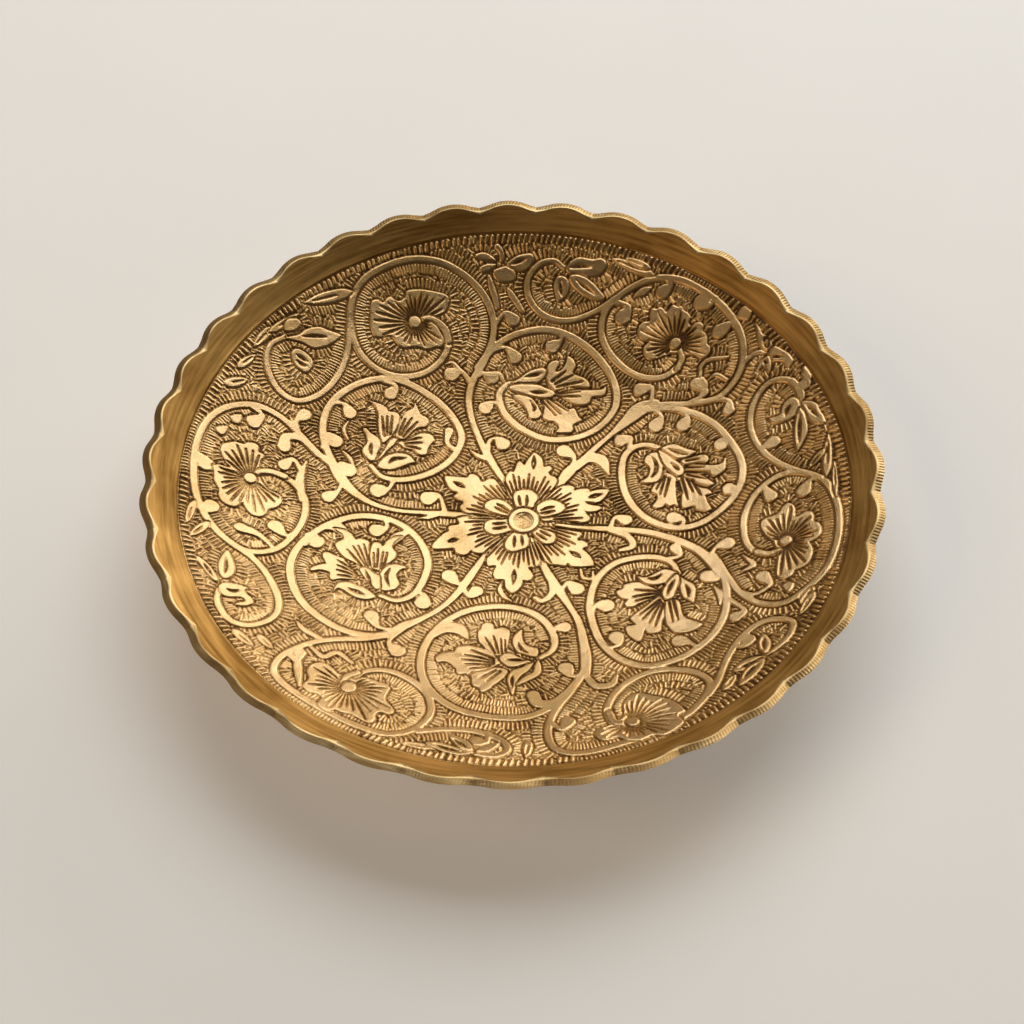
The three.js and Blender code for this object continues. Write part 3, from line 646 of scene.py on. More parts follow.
        [-26, 23.3, -24.3, 24.6, -22.7, 25, -21, 24.6, -20.2, 22.9, -21, 21.7, -21.8, 20, -22.3, 18.3,
         -24.3, 18.3, -25.6, 19.6, -27.7, 20, -29.4, 21.4],
        [-30, 23, -29.4, 26, -28.9, 28.3, -27.7, 30.8, -26, 32.1, -25.6, 33.8, -24.8, 32.1, -23.9, 30.4,
         -22.3, 29.6, -21.8, 27.9, -22.7, 26.7, -24.3, 26.3, -26, 25, -28, 22.6]],
     "leaves": [
        [-34.8, 15.4, -36.4, 15, -38.1, 16.7, -38.3, 18.3, -37.3, 20.4, -37.7, 22.5, -38.5, 24.2, -37.7,
         24.6, -36.4, 23.3, -35.6, 22.9, -34.3, 21.7, -33.7, 19.6, -34.5, 17.5],
        [-34.4, 13.4, -33.6, 15.4, -32, 17.2, -29.4, 18.3, -26.8, 18, -25, 16, -26.4, 15.2, -28.5, 14,
         -30.6, 13, -32.6, 12.8],
        [-34.5, 15.6, -33.1, 18.3, -31.8, 21.3, -30.6, 22.7, -29.8, 22.3, -30.2, 20.8, -31.8, 18.8, -33.5,
         16.3]],
     "slots": [[-36.2, 20, -36.3, 18.4, -36, 16.7], [-31.6, 14.8, -30.2, 16.3, -27.3, 16.9]],
     "veins": [
        [-33, 23, -33.8, 28.5], [-32.4, 23.4, -32.5, 28.9], [-31.6, 23.6, -31.2, 29],
        [-29.4, 24, -27.9, 28.6],
        [-28.8, 23.8, -26.2, 29], [-28.2, 23.4, -24.8, 27.9], [-28, 22.2, -23.6, 23.4],
        [-27.8, 21.4, -23.4, 21.9],
        [-27.6, 20.8, -23.8, 20]]},
]

# six pansies in the outer rings: closed outline, heart, heart radius, and the stem's way in
pansies = [
    {"outline": [35.8, 56.2, 35.6, 57.6, 36.3, 58.9, 37.4, 58.6, 38.4, 59, 39.3, 58.2, 39.9, 57.4, 40.6, 58,
                 41.6, 59, 42.8, 58.3, 43.8, 58.2, 44.4, 57, 45.4, 56.2, 46.1, 54.8, 45.6, 53.4, 46.2, 52.5,
                 47.2, 53.1, 48.6, 53, 49.3, 51.8, 49, 50.6, 49.8, 49.8, 50.2, 48.2, 50.1, 46.8, 50.8, 45.8,
                 50.6, 44.2, 49.4, 43.1, 48.2, 43.2, 46.8, 44.6, 45, 44.8, 43.8, 45.4, 41.5, 46, 40, 45.8,
                 37.6, 45.3, 35.6, 45, 34.4, 45.9, 33.8, 47.4, 34, 49, 35.4, 50.2, 33.9, 50.7, 32.9, 51.6,
                 32.4, 53.2, 32.8, 54.8, 34, 55.7, 35.2, 55.6],
     "heart": (42, 48.5), "radius": 1.5, "stem": [(42.4, 41.4), (43.5, 44), (43.1, 46.6)]},
    {"outline": [60.2, -8.2, 61.4, -7.3, 63, -7.1, 64.4, -6.5, 65.3, -5.3, 66.6, -4.2, 67.8, -5, 68.3, -6.6,
                 68.1, -8.6, 68.8, -9, 70.4, -8.1, 71.8, -8.6, 72.3, -10.2, 72.1, -11.6, 73.1, -12.6, 73.5,
                 -14.6, 72.9, -16.6, 71.6, -17.6, 70.5, -17.9, 71, -19.8, 70.8, -22, 69.8, -24, 68, -25.2,
                 66.6, -25.5, 65.6, -27, 64.2, -27.6, 62.7, -26.8, 62.2, -25, 62.6, -22.6, 63, -20.4, 63.2,
                 -18.4, 62.8, -16.4, 62.2, -14.4, 61.2, -13, 60.4, -11.4, 60, -9.6],
     "heart": (65.3, -15.6), "radius": 1.5, "stem": [(58.6, -17.2), (61, -18.4), (63.6, -18)]},
    {"outline": [25.2, -64.4, 25.2, -61, 26.8, -58.2, 29.4, -57.6, 31.6, -58.8, 34.5, -60, 37, -62.3, 38.6,
                 -65.2, 37, -66.4, 38, -69, 36.2, -71, 33.8, -72.6, 31, -72.4, 28.6, -73.6, 25.6, -73.2,
                 23.4, -72, 20.4, -72.8, 18.6, -71, 19.2, -68.8, 21.6, -67.8, 23.6, -66.4],
     "heart": (27, -67), "radius": 1.5, "stem": [(22, -63.4), (23, -66.6), (25.6, -67.6)]},
    {"outline": [-45.8, -52.2, -44.6, -51, -42.8, -50.6, -41.4, -51.2, -40.2, -52.4, -39, -53.6, -37, -53.8,
                 -35.4, -54.6, -33.4, -53.6, -31.8, -54, -30, -54.6, -28.4, -55, -27.4, -56.4, -27.8, -58,
                 -28.2, -60, -27, -62, -26, -64, -27, -65.2, -28.6, -64.6, -30, -65.6, -29.8, -67.2, -30.8,
                 -68.6, -32.2, -68.4, -33.8, -67.3, -35.4, -66.4, -37.2, -66.3, -38.6, -65.6, -40, -66.4,
                 -41.6, -65.6, -42.8, -64, -42.3, -62.2, -43, -61, -44.6, -60.9, -46, -60, -46.6, -58.6,
                 -45.9, -57.4, -45.6, -56, -46.2, -54],
     "heart": (-36.6, -57.4), "radius": 1.7, "stem": [(-35.2, -52.4), (-37.4, -54), (-38, -56.2)]},
    {"outline": [-62.6, 9.2, -61.9, 10.2, -62.2, 11.3, -63.4, 11.6, -63.3, 13, -64.4, 13.8, -66, 13.6, -67,
                 12.8, -69, 12.8, -70.4, 12, -71.7, 11.2, -72.1, 9.4, -71.5, 7.4, -70.3, 5.8, -69.2, 5.2,
                 -70.4, 4.7, -71.8, 4.9, -73.3, 4.1, -72.9, 2, -72.7, 0, -72, -1.6, -71.3, -2.8, -71.3,
                 -4.4, -70.2, -6, -68.4, -6.7, -66.8, -6.3, -65.8, -4.7, -64.6, -6.6, -63.2, -7.8, -61.2,
                 -7.8, -60, -6.6, -59.4, -5, -57.8, -4, -56.7, -2.4, -57, -0.4, -58.4, 0.6, -60, 1, -61.4,
                 2.4, -62.6, 4.4, -62.8, 6.4],
     "heart": (-64.6, 3.2), "radius": 1.5, "stem": [(-56.6, 6), (-60, 6.6), (-62.6, 5.8), (-63.6, 4.4)]},
    {"outline": [-37.8, 57, -37.6, 60, -36, 61, -34.6, 60.4, -33, 62.2, -30.8, 61.4, -29, 62.5, -28.4, 64.4,
                 -25, 65.2, -21, 65, -17.8, 64.2, -17.4, 61.8, -18.6, 59.6, -20.8, 58.6, -21.2, 57, -19.8,
                 54.8, -18.4, 52, -19, 50.4, -20.6, 50, -22.6, 49.2, -25, 49.6, -26.8, 49.4, -29, 49, -30.8,
                 50, -31.9, 51.6, -33.6, 51.8, -35, 51, -36.6, 51.2, -37.6, 53.4],
     "heart": (-26.2, 56.4), "radius": 1.6, "stem": [(-17.2, 52), (-18.4, 55.6), (-22, 57.8), (-25, 57.2)]},
]
pansyVeins = {"count": 30, "start": 2.1, "solid": (1.1, 2.4, 1.6), "shortest": 0.6,
              "width": (0.22, 0.34, 0.18)}
fanCuts = {"vein": (0.36, 0.3, 0.16), "slot": 0.45, "slotEnd": 0.12}
sprayLook = {"points": 7, "thin": 0.12, "cut": (0.12, 0.2, 0.12)}
# widths of the ring stems, with their tapering ends, and of the stems of the buds
stemLook = {"pansy": 0.85, "leaf": 0.8, "inner": 0.95, "taper": (0.95, 0.8, 0.7), "budRoot": 0.75,
            "bud": 0.62,
            "pansyStem": (0.85, 0.8, 0.5)}
# ground kept clear round a shape that lies over others
gaps = {"spray": 0.35, "fanPetal": 0.28, "fanLeaf": 0.42, "pansy": 0.4, "pansyStem": 0.35, "heart": 0.5,
        "rosetteLeaf": 0.35, "rosettePetal": 0.42, "boss": 0.45, "roundelLeaf": 0.4}
leafSlot = {"path": ((64.5, 44.7), (64.7, 43.6), (64.8, 42.5)), "width": (0.5, 0.85, 0.6)}


def drawSpray(base, tip, halfWidth):
    path = np.linspace(base, tip, sprayLook["points"])
    t = np.linspace(0, 1, sprayLook["points"])
    raiseShape(path, halfWidth * np.sin(np.pi * t ** 0.8) ** 0.75 + sprayLook["thin"], gaps["spray"])
    cutLine(path[2:6], sprayLook["cut"])


def cutSlots(slots, width):
    for flat in slots:
        path = np.reshape(flat, (-1, 2))
        sinkShape(path, [fanCuts["slotEnd"]] + [width] * (len(path) - 2) + [fanCuts["slotEnd"]])


def drawFan(fan):
    for flat in fan["petals"]:
        fillShape(flat, gaps["fanPetal"])
    for ax, ay, bx, by in fan["veins"]:
        cutLine([(ax, ay), ((ax + bx) / 2, (ay + by) / 2), (bx, by)], fanCuts["vein"])
    for flat in fan["leaves"]:
        fillShape(flat, gaps["fanLeaf"])
    cutSlots(fan["slots"], fanCuts["slot"])


def drawPansy(pansy):
    x, y = pansy["heart"]
    path = closedPath(np.reshape(pansy["outline"], (-1, 2)))
    fillShape(pansy["outline"], gaps["pansy"])
    angles = np.arctan2(path[:, 1] - y, path[:, 0] - x)
    away = np.hypot(path[:, 0] - x, path[:, 1] - y)
    order = np.argsort(angles)
    for k in range(pansyVeins["count"]):
        a = -math.pi + 2 * math.pi * (k + 0.5) / pansyVeins["count"]
        c, s = math.cos(a), math.sin(a)
        reached = np.interp(a, angles[order], away[order]) - pansyVeins["solid"][k % 3]
        if reached > pansyVeins["start"] + pansyVeins["shortest"]:
            cutLine([(x + q * c, y + q * s) for q in np.linspace(pansyVeins["start"], reached, 3)],
                    pansyVeins["width"])
    raiseShape(pansy["stem"], stemLook["pansyStem"], gaps["pansyStem"])
    raiseShape([(x, y), (x + 0.01, y)], pansy["radius"], gaps["heart"])


def drawRosette():
    x, y = rosette["x"], rosette["y"]
    for flat in rosette["leaves"]:
        fillShape(flat, gaps["rosetteLeaf"])
    outline = np.vstack([closedPath(np.reshape(flat, (-1, 2))) for flat in rosette["leaves"]])
    angles = np.arctan2(outline[:, 1] - y, outline[:, 0] - x)
    away = np.hypot(outline[:, 0] - x, outline[:, 1] - y)
    for k in range(rosette["veins"]):
        a = -math.pi + 2 * math.pi * (k + 0.5) / rosette["veins"]
        c, s = math.cos(a), math.sin(a)
        near = np.abs(np.angle(np.exp(1j * (angles - a)))) < rosette["veinSide"]
        reached = min(rosette["veinEnds"][k % 3], away[near].max(initial=0) - rosette["veinSolid"])
        if reached > rosette["veinFrom"] + rosette["veinShortest"]:
            along = np.linspace(rosette["veinFrom"], reached, 4)
            cutLine([(x + q * c, y + q * s) for q in along], rosette["veinWidth"])
    cutSlots(rosette["eyes"], rosette["eye"])
    for flat in rosette["petals"]:
        fillShape(flat, gaps["rosettePetal"])
    for flat in rosette["slots"]:
        cutLine(np.reshape(flat, (-1, 2)), rosette["slotWidth"])
    raiseShape([(x, y), (x + 0.01, y)], rosette["bossRadius"], gaps["boss"])


def drawAll():
    for rings, kind in ((pansyRings, "pansy"), (leafRings, "leaf"), (innerRings, "inner")):
        w = stemLook[kind]
        for points in rings:
            raiseShape(points, [w] * (len(points) - 3) + [w * part for part in stemLook["taper"]])
    for points, radii in mainStems:
        raiseShape(points, radii)
    for points, radius in buds:
        raiseShape(points, [stemLook["budRoot"]] + [stemLook["bud"]] * (len(points) - 2) + [radius])
    for points, radii in curls:
        raiseShape(points, radii)
    for base, tip, halfWidth in sprays:
        drawSpray(base, tip, halfWidth)
    for fan in fans:
        drawFan(fan)
    for pansy in pansies:
        drawPansy(pansy)
    for flat in roundelLeaves:
        fillShape(flat, gaps["roundelLeaf"])
    cutSlots(roundelSlots, fanCuts["slot"])
    sinkShape(leafSlot["path"], leafSlot["width"])
    drawRosette()


# Punched strokes on the ground
hatchSet = {
    "pitch": 0.9, "gap": 0.58, "rows": (2.0, 1.6, 1.5), "rowGap": 0.74, "halfWidth": 0.22, "clear": 0.44,
    "spacing": 0.38, "shortest": 0.35, "feel": 0.12, "reach": 81, "shortRows": 5, "shortStep": 2.7,
    "shortLength": 0.8, "besideMotif": 1.9, "dot": 0.16, "dotStep": 0.5, "dotClear": 0.36,
    "dotSpacing": 0.14,
}
rng = random.Random(11)


def paintDash(x0, y0, x1, y1, halfWidth, spacing):
    w = halfWidth + max(0.4, spacing)
    window = canvasWindow(min(x0, x1) - w, max(x0, x1) + w, min(y0, y1) - w, max(y0, y1) + w)
    d = strokeDistance(axisMm[None, window[1]], axisMm[window[0], None], x0, y0, x1, y1, halfWidth,
                       halfWidth)
    dashes[window] = np.maximum(dashes[window], np.clip(0.5 - d / 0.3, 0, 1))
    taken[window] |= d < spacing


def free(x, y, clear):
    i = int((y + reach) / pixel + 0.5)
    j = int((x + reach) / pixel + 0.5)
    if i < 0 or j < 0 or i >= side or j >= side:
        return False
    return edge[i, j] > clear and not taken[i, j] and x * x + y * y < (border["edge"] - 0.5) ** 2


def freeLength(x, y, ux, uy, longest, clear):
    reached = 0.0
    feel = hatchSet["feel"]
    while reached < longest and free(x + ux * (reached + feel), y + uy * (reached + feel), clear):
        reached += feel
    return reached


def combRow(path, along, row):
    # strokes side by side, square to the line they follow, on both of its sides
    painted = 0
    total = along[-1]
    offset = hatchSet["gap"] + sum(hatchSet["rows"][:row]) + row * hatchSet["rowGap"]
    first = hatchSet["pitch"] * (0.5 if row % 2 else 0.0)
    for s in np.arange(first, total, hatchSet["pitch"]):
        x, y, w = (np.interp(s, along, path[:, c]) for c in range(3))
        xa, ya = (np.interp(min(s + 0.4, total), along, path[:, c]) for c in range(2))
        xb, yb = (np.interp(max(s - 0.4, 0), along, path[:, c]) for c in range(2))
        m = math.hypot(xa - xb, ya - yb) or 1
        nx, ny = -(ya - yb) / m, (xa - xb) / m
        for hand in (1, -1):
            ux, uy = nx * hand, ny * hand
            sx, sy = x + ux * (w + offset), y + uy * (w + offset)
            if not free(sx, sy, hatchSet["clear"]):
                continue
            longest = hatchSet["rows"][row] * rng.uniform(0.88, 1.08)
            reached = freeLength(sx, sy, ux, uy, longest, hatchSet["clear"])
            if reached < hatchSet["shortest"] or (row and reached < 0.5 * longest):
                continue
            lean = rng.uniform(-0.07, 0.07)
            paintDash(sx, sy, sx + (ux - uy * lean) * reached, sy + (uy + ux * lean) * reached,
                      hatchSet["halfWidth"] * rng.uniform(0.85, 1.1), hatchSet["spacing"])
            painted += 1
    return painted


def fillRows():
    # what is left between the combs gets short rows of parallel strokes
    painted = 0
    step = hatchSet["shortStep"]
    gy, gx = np.gradient(edge)
    grid = np.arange(-hatchSet["reach"], hatchSet["reach"], step)
    cells = [(x, y) for y in grid for x in grid]
    rng.shuffle(cells)
    for x, y in cells:
        x += rng.uniform(-0.2, 0.2) * step
        y += rng.uniform(-0.2, 0.2) * step
        if not free(x, y, hatchSet["clear"]):
            continue
        i = int((y + reach) / pixel + 0.5)
        j = int((x + reach) / pixel + 0.5)
        beside = edge[i, j] < hatchSet["besideMotif"]
        angle = math.atan2(gy[i, j], gx[i, j]) if beside else rng.uniform(0, math.pi)
        ux, uy = math.cos(angle), math.sin(angle)
        for row in range(hatchSet["shortRows"]):
            shift = ((row + 1) // 2) * (1 if row % 2 else -1) * hatchSet["pitch"]
            sx, sy = x - uy * shift, y + ux * shift
            if not free(sx, sy, hatchSet["clear"]):
                continue
            length = hatchSet["shortLength"] * rng.uniform(0.75, 1.0)
            a = freeLength(sx, sy, ux, uy, length, hatchSet["clear"])
            b = freeLength(sx, sy, -ux, -uy, length, hatchSet["clear"])
            paintDash(sx + ux * a, sy + uy * a, sx - ux * b, sy - uy * b,
                      hatchSet["halfWidth"] * rng.uniform(0.85, 1.05), hatchSet["spacing"])
            painted += 1
    return painted


def fillDots():
    # the last gaps are stippled
    painted = 0
    step = hatchSet["dotStep"]
    out = hatchSet["reach"]
    for k, y in enumerate(np.arange(-out, out, step * 0.87)):
        for x in np.arange(-out + (k % 2) * step / 2, out, step):
            dx, dy = rng.uniform(-0.1, 0.1), rng.uniform(-0.1, 0.1)
            if free(x + dx, y + dy, hatchSet["dotClear"]):
                size = hatchSet["dot"] * rng.uniform(0.8, 1.2)
                paintDash(x + dx, y + dy, x + dx, y + dy, size, hatchSet["dotSpacing"])
                painted += 1
    return painted


def hatch():
    painted = 0
    paths = []
    for points, radii in sweeps:
        path = smoothPath(np.column_stack([np.asarray(points, float), spreadRadii(points, radii)]), 0.3)
        along = np.concatenate([[0], np.cumsum(np.hypot(np.diff(path[:, 0]), np.diff(path[:, 1])))])
        if along[-1] > 0.5:
            paths.append((path, along))
    for row in range(len(hatchSet["rows"])):
        for path, along in paths:
            painted += combRow(path, along, row)
    painted += fillRows()
    print("strokes on the ground:", painted, "and", fillDots(), "dots")


border = {
    "edge": 81.05, "out": 0.45, "outAt": 0.35, "ticks": 336, "length": 1.75, "gap": 0.42, "lean": 0.22,
    "halfWidth": (0.27, 0.4), "clear": 0.45,
}


def borderLine(angle):
    return border["edge"] + border["out"] * np.cos(angle - border["outAt"])


def drawBorder():
    # the band closes the pattern, with a row of short strokes inside it
    x = axisMm[None, :]
    y = axisMm[:, None]
    away = borderLine(np.arctan2(y, x)) - np.hypot(x, y)
    veins[:] = np.where(away < 0.4, 0, veins)
    edge[:] = np.minimum(np.maximum(edge, border["clear"] - away), away)
    for k in range(border["ticks"]):
        a = 2 * math.pi * (k + rng.uniform(-0.12, 0.12)) / border["ticks"]
        b = a + rng.uniform(0.2, 1.0) * border["lean"] * border["length"] / border["edge"]
        outer = float(borderLine(a)) - border["gap"]
        inner = outer - border["length"] * rng.uniform(0.85, 1.12)
        halfWidth = rng.uniform(*border["halfWidth"])
        outer -= halfWidth
        ends = (outer * math.cos(a), outer * math.sin(a), inner * math.cos(b), inner * math.sin(b))
        if free((ends[0] + ends[2]) / 2, (ends[1] + ends[3]) / 2, 0.3) and free(ends[2], ends[3], 0.2):
            paintDash(*ends, halfWidth, halfWidth + 0.16)


# Depths of the carving below the tops of the motifs
carving = {
    "ground": 0.34, "wall": 0.3, "trench": 0.17, "trenchAt": 0.26, "trenchWidth": 0.2, "stroke": 0.32,
    "vein": 0.38, "shoulder": 0.05, "shoulderWidth": 0.55,
}


def heights():
    fall = np.clip((edge + 0.1) / carving["wall"], 0, 1)
    fall = fall * fall * (3 - 2 * fall)
    trench = np.clip(1 - np.abs(edge - carving["trenchAt"]) / carving["trenchWidth"], 0, 1)
    h = -carving["ground"] * fall - carving["trench"] * trench
    h = h + carving["stroke"] * dashes * (edge > 0.2)
    # motifs are rounded off towards their outlines
    near = np.clip(1 + edge / carving["shoulderWidth"], 0, 1)
    h = h - carving["shoulder"] * near * near * (edge < 0.1) * (1 - fall)
    h = h - carving["vein"] * veins * (edge < 0.1)
    r = np.hypot(axisMm[None, :] - rosette["x"], axisMm[:, None] - rosette["y"])
    bowl = np.clip(1 - (r / rosette["dimpleRadius"]) ** 2, 0, 1)
    return h - rosette["dimpleDepth"] * bowl ** 0.7


drawAll()
drawBorder()
hatch()
relief = heights()
print("pattern drawn")

# Meshes are skinned over rings of points round the axis
reliefMesh = {
    "ringStep": 0.2, "innerCount": 324, "doubleAt": (10.4, 20.8, 41.6), "lipSamples": 144, "bandRings": 14,
    "bandLap": 0.15, "uvWidth": 181,
}


def ringCount(r):
    return reliefMesh["innerCount"] * 2 ** sum(r >= limit for limit in reliefMesh["doubleAt"])


def ringPoints(radius, height, count):
    angle = 2 * np.pi * np.arange(count) / count
    return np.column_stack([radius * np.cos(angle), radius * np.sin(angle), height * np.ones(count)])


def skin(name, rings, material):
    starts = np.cumsum([0] + [len(points) for points in rings[:-1]])
    faces = []
    for k in range(len(rings) - 1):
        a, b = len(rings[k]), len(rings[k + 1])
        i = np.arange(max(a, b))
        lower, upper = starts[k], starts[k + 1]
        if a == 1:
            faces.append(np.column_stack([lower + 0 * i, upper + i, upper + (i + 1) % b]))
        elif b == 1:
            faces.append(np.column_stack([lower + i, upper + 0 * i, lower + (i + 1) % a]))
        elif a == b:
            n = (i + 1) % a
            faces.append(np.column_stack([lower + i, upper + i, upper + n, lower + n]))
        elif b == 2 * a:
            i = np.arange(a)
            n = (i + 1) % a
            faces.append(np.column_stack([lower + i, upper + 2 * i, upper + 2 * i + 1]))
            faces.append(np.column_stack([lower + i, upper + 2 * i + 1, upper + (2 * i + 2) % b,
                                          lower + n]))
        else:
            i = np.arange(b)
            n = (i + 1) % b
            faces.append(np.column_stack([lower + 2 * i, upper + i, upper + n, lower + 2 * i + 1]))
            faces.append(np.column_stack([lower + 2 * i + 1, upper + n, lower + (2 * i + 2) % a]))
    return meshObject(name, np.vstack(rings), faces, material)


def meshObject(name, points, faces, material):
    mesh = bpy.data.meshes.new(name)
    mesh.vertices.add(len(points))
    mesh.vertices.foreach_set("co", (np.asarray(points) * mm).astype(np.float32).ravel())
    corners = np.concatenate([f.ravel() for f in faces]).astype(np.int32)
    sizes = np.concatenate([np.full(len(f), f.shape[1]) for f in faces])
    mesh.loops.add(len(corners))
    mesh.loops.foreach_set("vertex_index", corners)
    mesh.polygons.add(len(sizes))
    mesh.polygons.foreach_set("loop_start", np.concatenate([[0], np.cumsum(sizes)[:-1]]).astype(np.int32))
    mesh.polygons.foreach_set("use_smooth", np.full(len(sizes), True))
    mesh.update(calc_edges=True)
    mesh.validate()
    mesh.materials.append(material)
    piece = bpy.data.objects.new(name, mesh)
    bpy.context.scene.collection.objects.link(piece)
    return piece


def flatUv(piece, width):
    mesh = piece.data
    layer = mesh.uv_layers.new(name="OFBake")
    co = np.empty(len(mesh.vertices) * 3, np.float32)
    mesh.vertices.foreach_get("co", co)
    corner = np.empty(len(mesh.loops), np.int32)
    mesh.loops.foreach_get("vertex_index", corner)
    uv = 0.5 + co.reshape(-1, 3)[corner, :2] / (width * mm)
    layer.data.foreach_set("uv", uv.astype(np.float32).ravel())


def pointMask(piece, name, values):
    layer = piece.data.attributes.new(name, "FLOAT", "POINT")
    layer.data.foreach_set("value", np.asarray(values, np.float32))


def sampleCanvas(grid, x, y):
    column = np.clip((x + reach) / pixel, 0, side - 1.001)
    row = np.clip((y + reach) / pixel, 0, side - 1.001)
    j, i = column.astype(int), row.astype(int)
    u, v = column - j, row - i
    return ((grid[i, j] * (1 - u) + grid[i, j + 1] * u) * (1 - v)
            + (grid[i + 1, j] * (1 - u) + grid[i + 1, j + 1] * u) * v)


def blurred(grid, passes):
    out = grid.copy()
    for _ in range(passes):
        for axis in (0, 1):
            out = 0.25 * np.roll(out, 1, axis) + 0.5 * out + 0.25 * np.roll(out, -1, axis)
    return out


def softNoise(seed, cell):
    # smoothed noise over the canvas, about -1 to 1
    count = int(2 * reach / cell) + 3
    values = np.random.default_rng(seed).uniform(-1, 1, (count, count))
    at = (axisMm + reach) / cell
    k = at.astype(int)
    t = at - k
    t = t * t * (3 - 2 * t)
    rows = values[k] * (1 - t)[:, None] + values[k + 1] * t[:, None]
    return rows[:, k] * (1 - t) + rows[:, k + 1] * t


# Shader helpers
def newMaterial(name):
    material = bpy.data.materials.new(name)
    material.use_nodes = True
    tree = material.node_tree
    return material, tree, tree.nodes["Principled BSDF"]


def addNode(tree, kind, **settings):
    node = tree.nodes.new(kind)
    for key, value in settings.items():
        if key.startswith("in_"):
            slotName = key[3:]
            target = int(slotName) if slotName.isdigit() else slotName.replace("_", " ")
            node.inputs[target].default_value = value
        else:
            setattr(node, key, value)
    return node


def mapNode(tree, socket, limits):
    # limits: from low, from high, to low, to high
    node = tree.nodes.new("ShaderNodeMapRange")
    for place, value in enumerate(limits):
        node.inputs[place + 1].default_value = value
    tree.links.new(socket, node.inputs["Value"])
    return node


def rampNode(tree, stops):
    node = tree.nodes.new("ShaderNodeValToRGB")
    ramp = node.color_ramp
    while len(ramp.elements) < len(stops):
        ramp.elements.new(0.5)
    for element, (at, colour) in zip(ramp.elements, stops):
        element.position = at
        element.color = (*colour, 1)
    return node


def newGroup(name, inputs, outputs):
    group = bpy.data.node_groups.new(name, "ShaderNodeTree")
    for label, kind, value in inputs:
        socket = group.interface.new_socket(label, in_out="INPUT", socket_type=kind)
        socket.default_value = value
    for label, kind in outputs:
        group.interface.new_socket(label, in_out="OUTPUT", socket_type=kind)
    return group, group.nodes.new("NodeGroupInput"), group.nodes.new("NodeGroupOutput")


def useGroup(tree, group, **values):
    node = tree.nodes.new("ShaderNodeGroup")
    node.node_tree = group
    for key, value in values.items():
        node.inputs[key.replace("_", " ")].default_value = value
    return node


def makeTurningMarks():
    # fine rings left by the lathe and the polishing wheel, running round the axis
    group, start, end = newGroup("turning marks", [
        ("Pitch", "NodeSocketFloat", 0.0004), ("Waver", "NodeSocketFloat", 0.3)],
        [("Height", "NodeSocketFloat"), ("Streaks", "NodeSocketFloat")])
    link = group.links.new
    place = addNode(group, "ShaderNodeTexCoord")
    parts = addNode(group, "ShaderNodeSeparateXYZ")
    link(place.outputs["Object"], parts.inputs[0])
    flat = addNode(group, "ShaderNodeCombineXYZ")
    link(parts.outputs["X"], flat.inputs["X"])
    link(parts.outputs["Y"], flat.inputs["Y"])
    reachOut = addNode(group, "ShaderNodeVectorMath", operation="LENGTH")
    link(flat.outputs[0], reachOut.inputs[0])
    bearing = addNode(group, "ShaderNodeVectorMath", operation="NORMALIZE")
    link(flat.outputs[0], bearing.inputs[0])
    spread = addNode(group, "ShaderNodeVectorMath", operation="SCALE")
    link(bearing.outputs[0], spread.inputs[0])
    link(start.outputs["Waver"], spread.inputs["Scale"])
    spreadParts = addNode(group, "ShaderNodeSeparateXYZ")
    link(spread.outputs[0], spreadParts.inputs[0])
    ringCoord = addNode(group, "ShaderNodeMath", operation="DIVIDE")
    link(reachOut.outputs["Value"], ringCoord.inputs[0])
    link(start.outputs["Pitch"], ringCoord.inputs[1])
    spot = addNode(group, "ShaderNodeCombineXYZ")
    link(ringCoord.outputs[0], spot.inputs["X"])
    link(spreadParts.outputs["X"], spot.inputs["Y"])
    link(spreadParts.outputs["Y"], spot.inputs["Z"])
    fine = addNode(group, "ShaderNodeTexNoise", in_Scale=1.0, in_Detail=3.0, in_Roughness=0.6)
    link(spot.outputs[0], fine.inputs["Vector"])
    broad = addNode(group, "ShaderNodeVectorMath", operation="MULTIPLY")
    broad.inputs[1].default_value = (0.42, 4.6, 4.6)
    link(spot.outputs[0], broad.inputs[0])
    streaks = addNode(group, "ShaderNodeTexNoise", in_Scale=1.0, in_Detail=2.0, in_Roughness=0.5)
    link(broad.outputs[0], streaks.inputs["Vector"])
    link(fine.outputs["Fac"], end.inputs["Height"])
    link(streaks.outputs["Fac"], end.inputs["Streaks"])
    return group


def makeHandling():
    # blotches of tarnish, small dents and fine scratches that use leaves on brass
    group, start, end = newGroup("handling", [
        ("Blotch Size", "NodeSocketFloat", 60.0), ("Grain Size", "NodeSocketFloat", 1500.0)],
        [("Blotches", "NodeSocketFloat"), ("Grain", "NodeSocketFloat"), ("Scratches", "NodeSocketFloat")])
    link = group.links.new
    place = addNode(group, "ShaderNodeTexCoord")
    blotches = addNode(group, "ShaderNodeTexNoise", in_Detail=4.0, in_Roughness=0.6, in_Distortion=0.4)
    link(place.outputs["Object"], blotches.inputs["Vector"])
    link(start.outputs["Blotch Size"], blotches.inputs["Scale"])
    grain = addNode(group, "ShaderNodeTexNoise", in_Detail=3.0, in_Roughness=0.65)
    link(place.outputs["Object"], grain.inputs["Vector"])
    link(start.outputs["Grain Size"], grain.inputs["Scale"])
    stretched = addNode(group, "ShaderNodeMapping")
    stretched.inputs["Rotation"].default_value = (0.2, 0.3, 0.7)
    stretched.inputs["Scale"].default_value = (2600.0, 130.0, 400.0)
    link(place.outputs["Object"], stretched.inputs["Vector"])
    lines = addNode(group, "ShaderNodeTexNoise", in_Scale=1.0, in_Detail=2.0, in_Distortion=0.7)
    link(stretched.outputs[0], lines.inputs["Vector"])
    sharp = mapNode(group, lines.outputs["Fac"], (0.62, 0.72, 0.0, 1.0))
    link(blotches.outputs["Fac"], end.inputs["Blotches"])
    link(grain.outputs["Fac"], end.inputs["Grain"])
    link(sharp.outputs[0], end.inputs["Scratches"])
    return group


turningMarks = makeTurningMarks()
handling = makeHandling()

